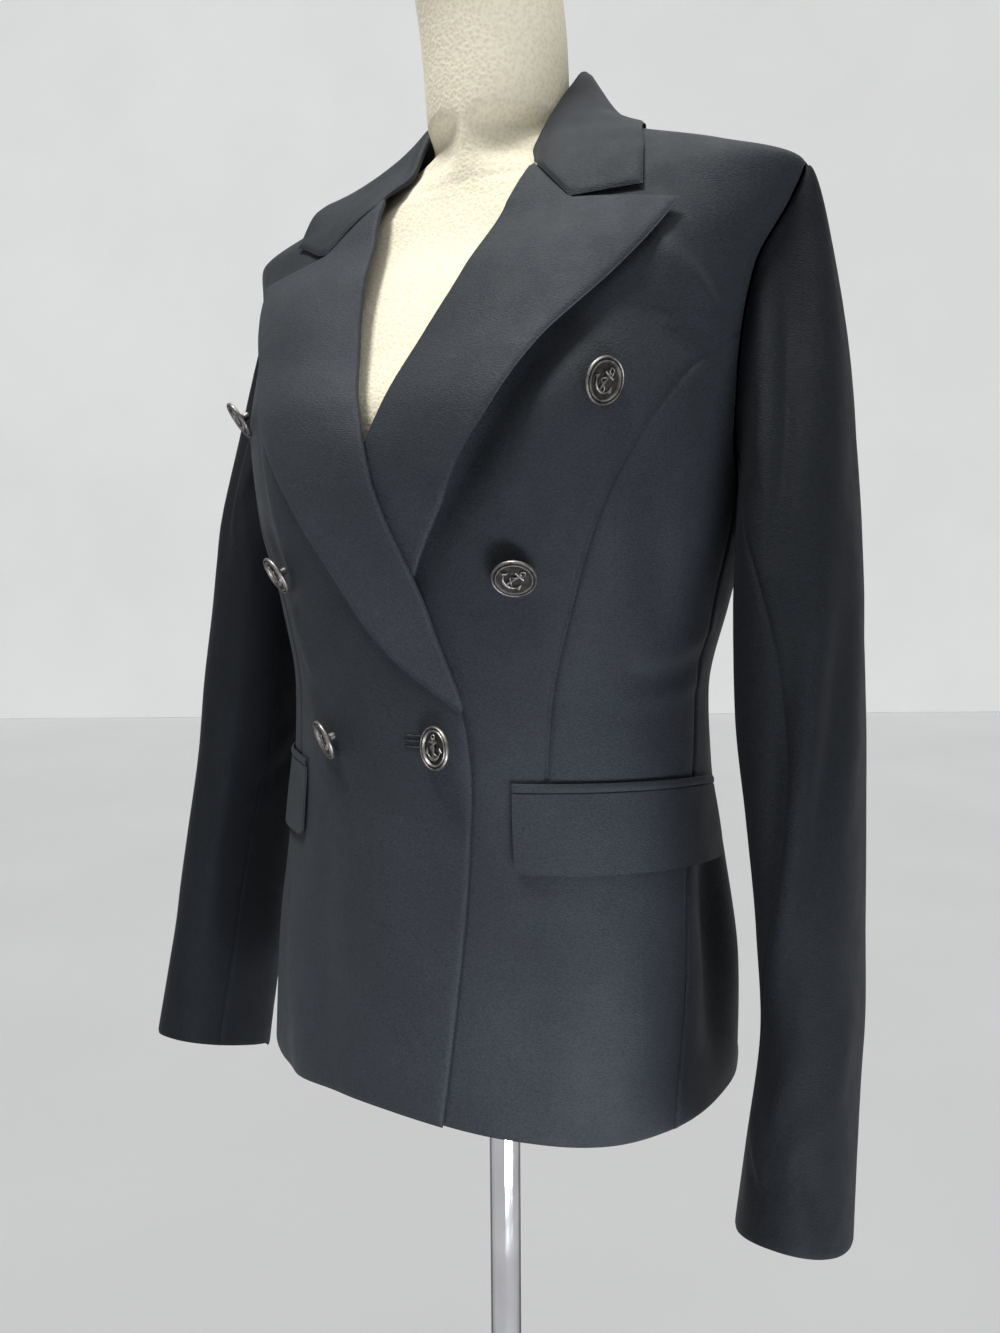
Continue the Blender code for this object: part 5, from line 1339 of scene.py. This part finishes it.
def make_buttonhole():
    """The bound slit beside the bottom button: a raised strip on each side, and the slit."""
    long, short, thin = HOLE_LENGTH / 2, HOLE_HEIGHT / 2, HOLE_EDGE / 2
    points, faces = np.zeros((0, 3)), []
    for u, v, half_u, half_v in (
        (0, short, long, thin),
        (0, -short, long, thin),
        (-long, 0, thin, short),
        (0, 0, long, HOLE_SLIT / 2),
    ):
        across = np.linspace(-half_u, half_u, 9)[:, None] + np.zeros((1, 5))
        upward = np.linspace(-half_v, half_v, 5)[None] + np.zeros((9, 1))
        reach, height = HOLE_PLACE[0] + u + across, HOLE_PLACE[1] + v + upward
        rise = np.minimum(4 * (1 - np.abs(across) / half_u), 1)
        rise = HOLE_RISE * rise * np.minimum(1.5 * (1 - np.abs(upward) / half_v), 1)
        lift = overlap_lift(reach, height) + HOLE_REST + rise
        outer = lifted(angle_at(reach, height), height, lift)
        inner = outer - grid_normals(outer) * HOLE_CLOTH
        wall = closed_wall(outer, inner, *grid_cells(outer.shape[:2]), True)
        faces += [tuple(face + len(points)) for face in wall[1]]
        points = np.concatenate([points, wall[0]])
    # The lips and the slit are near-black, far darker than the cloth: painted shade in the slit and
    # along the lips' edges.
    thread_with_painted_shade = metal_material("thread_with_painted_shade", (0.003, 0.003, 0.004), (0.006, 0.006, 0.008), 0.8, 400.0, 0.0)
    made = make_mesh("buttonhole_lips", points, faces, thread_with_painted_shade)
    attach(made, "root")


# --- dress form ----------------------------------------------------------------------------


def make_form():
    heights = [ring.height for ring in FORM]
    levels = np.concatenate(
        [heights[:1], np.linspace(FORM_ROUND, heights[1], 5)]
        + [np.linspace(a, b, 9)[1:] for a, b in zip(heights[1:-2], heights[2:-1])]
        + [np.linspace(heights[-2], heights[-1], 7)[1:]]
    )
    angles = np.arange(FORM_SIDES) * 360 / FORM_SIDES
    points = form_point(angles[None, :], levels[:, None] + 0 * angles[None, :])
    middle = points[-1].mean(0)
    caps = [middle + (points[-1] - middle) * k for k in (0.97, 0.9, 0.6, 0.3)]
    points = np.concatenate([points, np.stack(caps)])
    index = np.arange(points.shape[0] * FORM_SIDES).reshape(-1, FORM_SIDES)
    around = np.roll(index, -1, axis=1)
    faces = np.stack([index[:-1], around[:-1], around[1:], index[1:]], axis=-1).reshape(-1, 4)
    faces = [*faces, index[0][::-1], index[-1]]
    made = make_mesh("cloth_form_torso", points.reshape(-1, 3), faces, velour_material())
    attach(made, "root")
    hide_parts("form_torso")


def dress_nodes():
    """The pole, its socket and the foot keep their solids and get their metals."""
    tint = (0.02, 0.02, 0.03, 1.0)
    low, high = (0.66, 0.66, 0.68), (0.78, 0.78, 0.80)
    chrome = metal_material("polished_chrome", low, high, 0.10, 20.0, Specular_Tint=tint)
    steel = metal_material("satin_steel", (0.59, 0.59, 0.61), (0.62, 0.62, 0.64), 0.34, 150.0)
    for name, look in (("form_pole", chrome), ("form_socket", chrome), ("form_base", steel)):
        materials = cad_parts[name].data.materials
        materials.clear()
        materials.append(look)


# --- stage ---------------------------------------------------------------------------------
CAMERA_PLACE = (0.3505, -0.5834, 1.092)
CAMERA_AZIMUTH, CAMERA_PITCH, CAMERA_ROLL = 31.1, 6.5, -0.4
CAMERA_LENS = 27.06
FLOOR_SIDES, FLOOR_RADIUS = 96, 60.0
# Soft suns give the even light; the low panel aims up, as light off a pale table does.
SUNS = table(
    "name azimuth rise softness strength",
    ("top", -26.0, 71.0, 16.0, 4.10),
    ("fill", 64.0, 62.0, 40.0, 0.95),
    ("back", 170.0, 52.0, 45.0, 0.60),
)
PANEL_PLACE, PANEL_TARGET = (0.90, -0.46, 0.04), (0.27, -0.02, 0.55)


def make_camera():
    look = -direction(CAMERA_AZIMUTH, CAMERA_PITCH)
    right = direction(CAMERA_AZIMUTH + 90, 0)
    up = right.cross(look)
    roll = math.radians(CAMERA_ROLL)
    across = right * math.cos(roll) + up * math.sin(roll)
    upward = up * math.cos(roll) - right * math.sin(roll)
    made = linked("camera", bpy.data.cameras.new("camera"))
    turn = Matrix((across, upward, -look)).transposed().to_4x4()
    made.matrix_world = Matrix.Translation(CAMERA_PLACE) @ turn
    made.data.lens = CAMERA_LENS
    made.data.sensor_width = 36.0
    made.data.clip_start = 0.02
    bpy.context.scene.camera = made


def make_lights():
    for sun in SUNS:
        made = linked(sun.name, bpy.data.lights.new(sun.name, "SUN"))
        made.data.energy = sun.strength
        made.data.angle = math.radians(sun.softness)
        made.rotation_euler = direction(sun.azimuth, sun.rise).to_track_quat("Z", "Y").to_euler()
    made = linked("low", bpy.data.lights.new("low", "AREA"))
    made.data.shape = "RECTANGLE"
    made.data.size, made.data.size_y = 1.2, 0.7
    made.data.energy = 7.5
    made.data.spread = math.radians(55.0)
    made.data.color = (0.87, 0.90, 1.0)
    made.location = PANEL_PLACE
    way = Vector(PANEL_TARGET) - Vector(PANEL_PLACE)
    made.rotation_euler = way.to_track_quat("-Z", "Y").to_euler()


def make_stage():
    """A pale floor, a pale wall far behind, and soft lights."""
    turns = [2 * math.pi * k / FLOOR_SIDES for k in range(FLOOR_SIDES)]
    ring = [(FLOOR_RADIUS * math.cos(t), FLOOR_RADIUS * math.sin(t), 0.0) for t in turns]
    pale = pale_material("floor", (0.315, 0.315, 0.318))
    floor = make_mesh("floor", ring, [range(FLOOR_SIDES)], pale)
    away, across = -direction(CAMERA_AZIMUTH, 0), direction(CAMERA_AZIMUTH + 90, 0)
    corners = ((-6.0, 0.001), (-6.0, 6.5), (6.0, 6.5), (6.0, 0.001))
    points = [away * 6.0 + across * w + Vector((0, 0, z)) for w, z in corners]
    wall = make_mesh("backdrop", points, [range(4)], pale_material("backdrop", (0.93, 0.94, 0.93)))
    scene = bpy.context.scene
    scene.world = bpy.data.worlds.new("studio")
    scene.world.use_nodes = True
    background = scene.world.node_tree.nodes["Background"]
    background.inputs["Color"].default_value = (0.985, 1.0, 0.99, 1.0)
    background.inputs["Strength"].default_value = 0.20
    scene.view_settings.view_transform = "Standard"
    make_lights()


def main():
    make_camera()
    make_form()
    make_torso()
    make_lapels()
    make_collar()
    cloth_piece("collar_stand", stand_points())
    make_sleeves()
    make_pockets()
    make_buttons()
    make_buttonhole()
    dress_nodes()
    make_stage()


main()
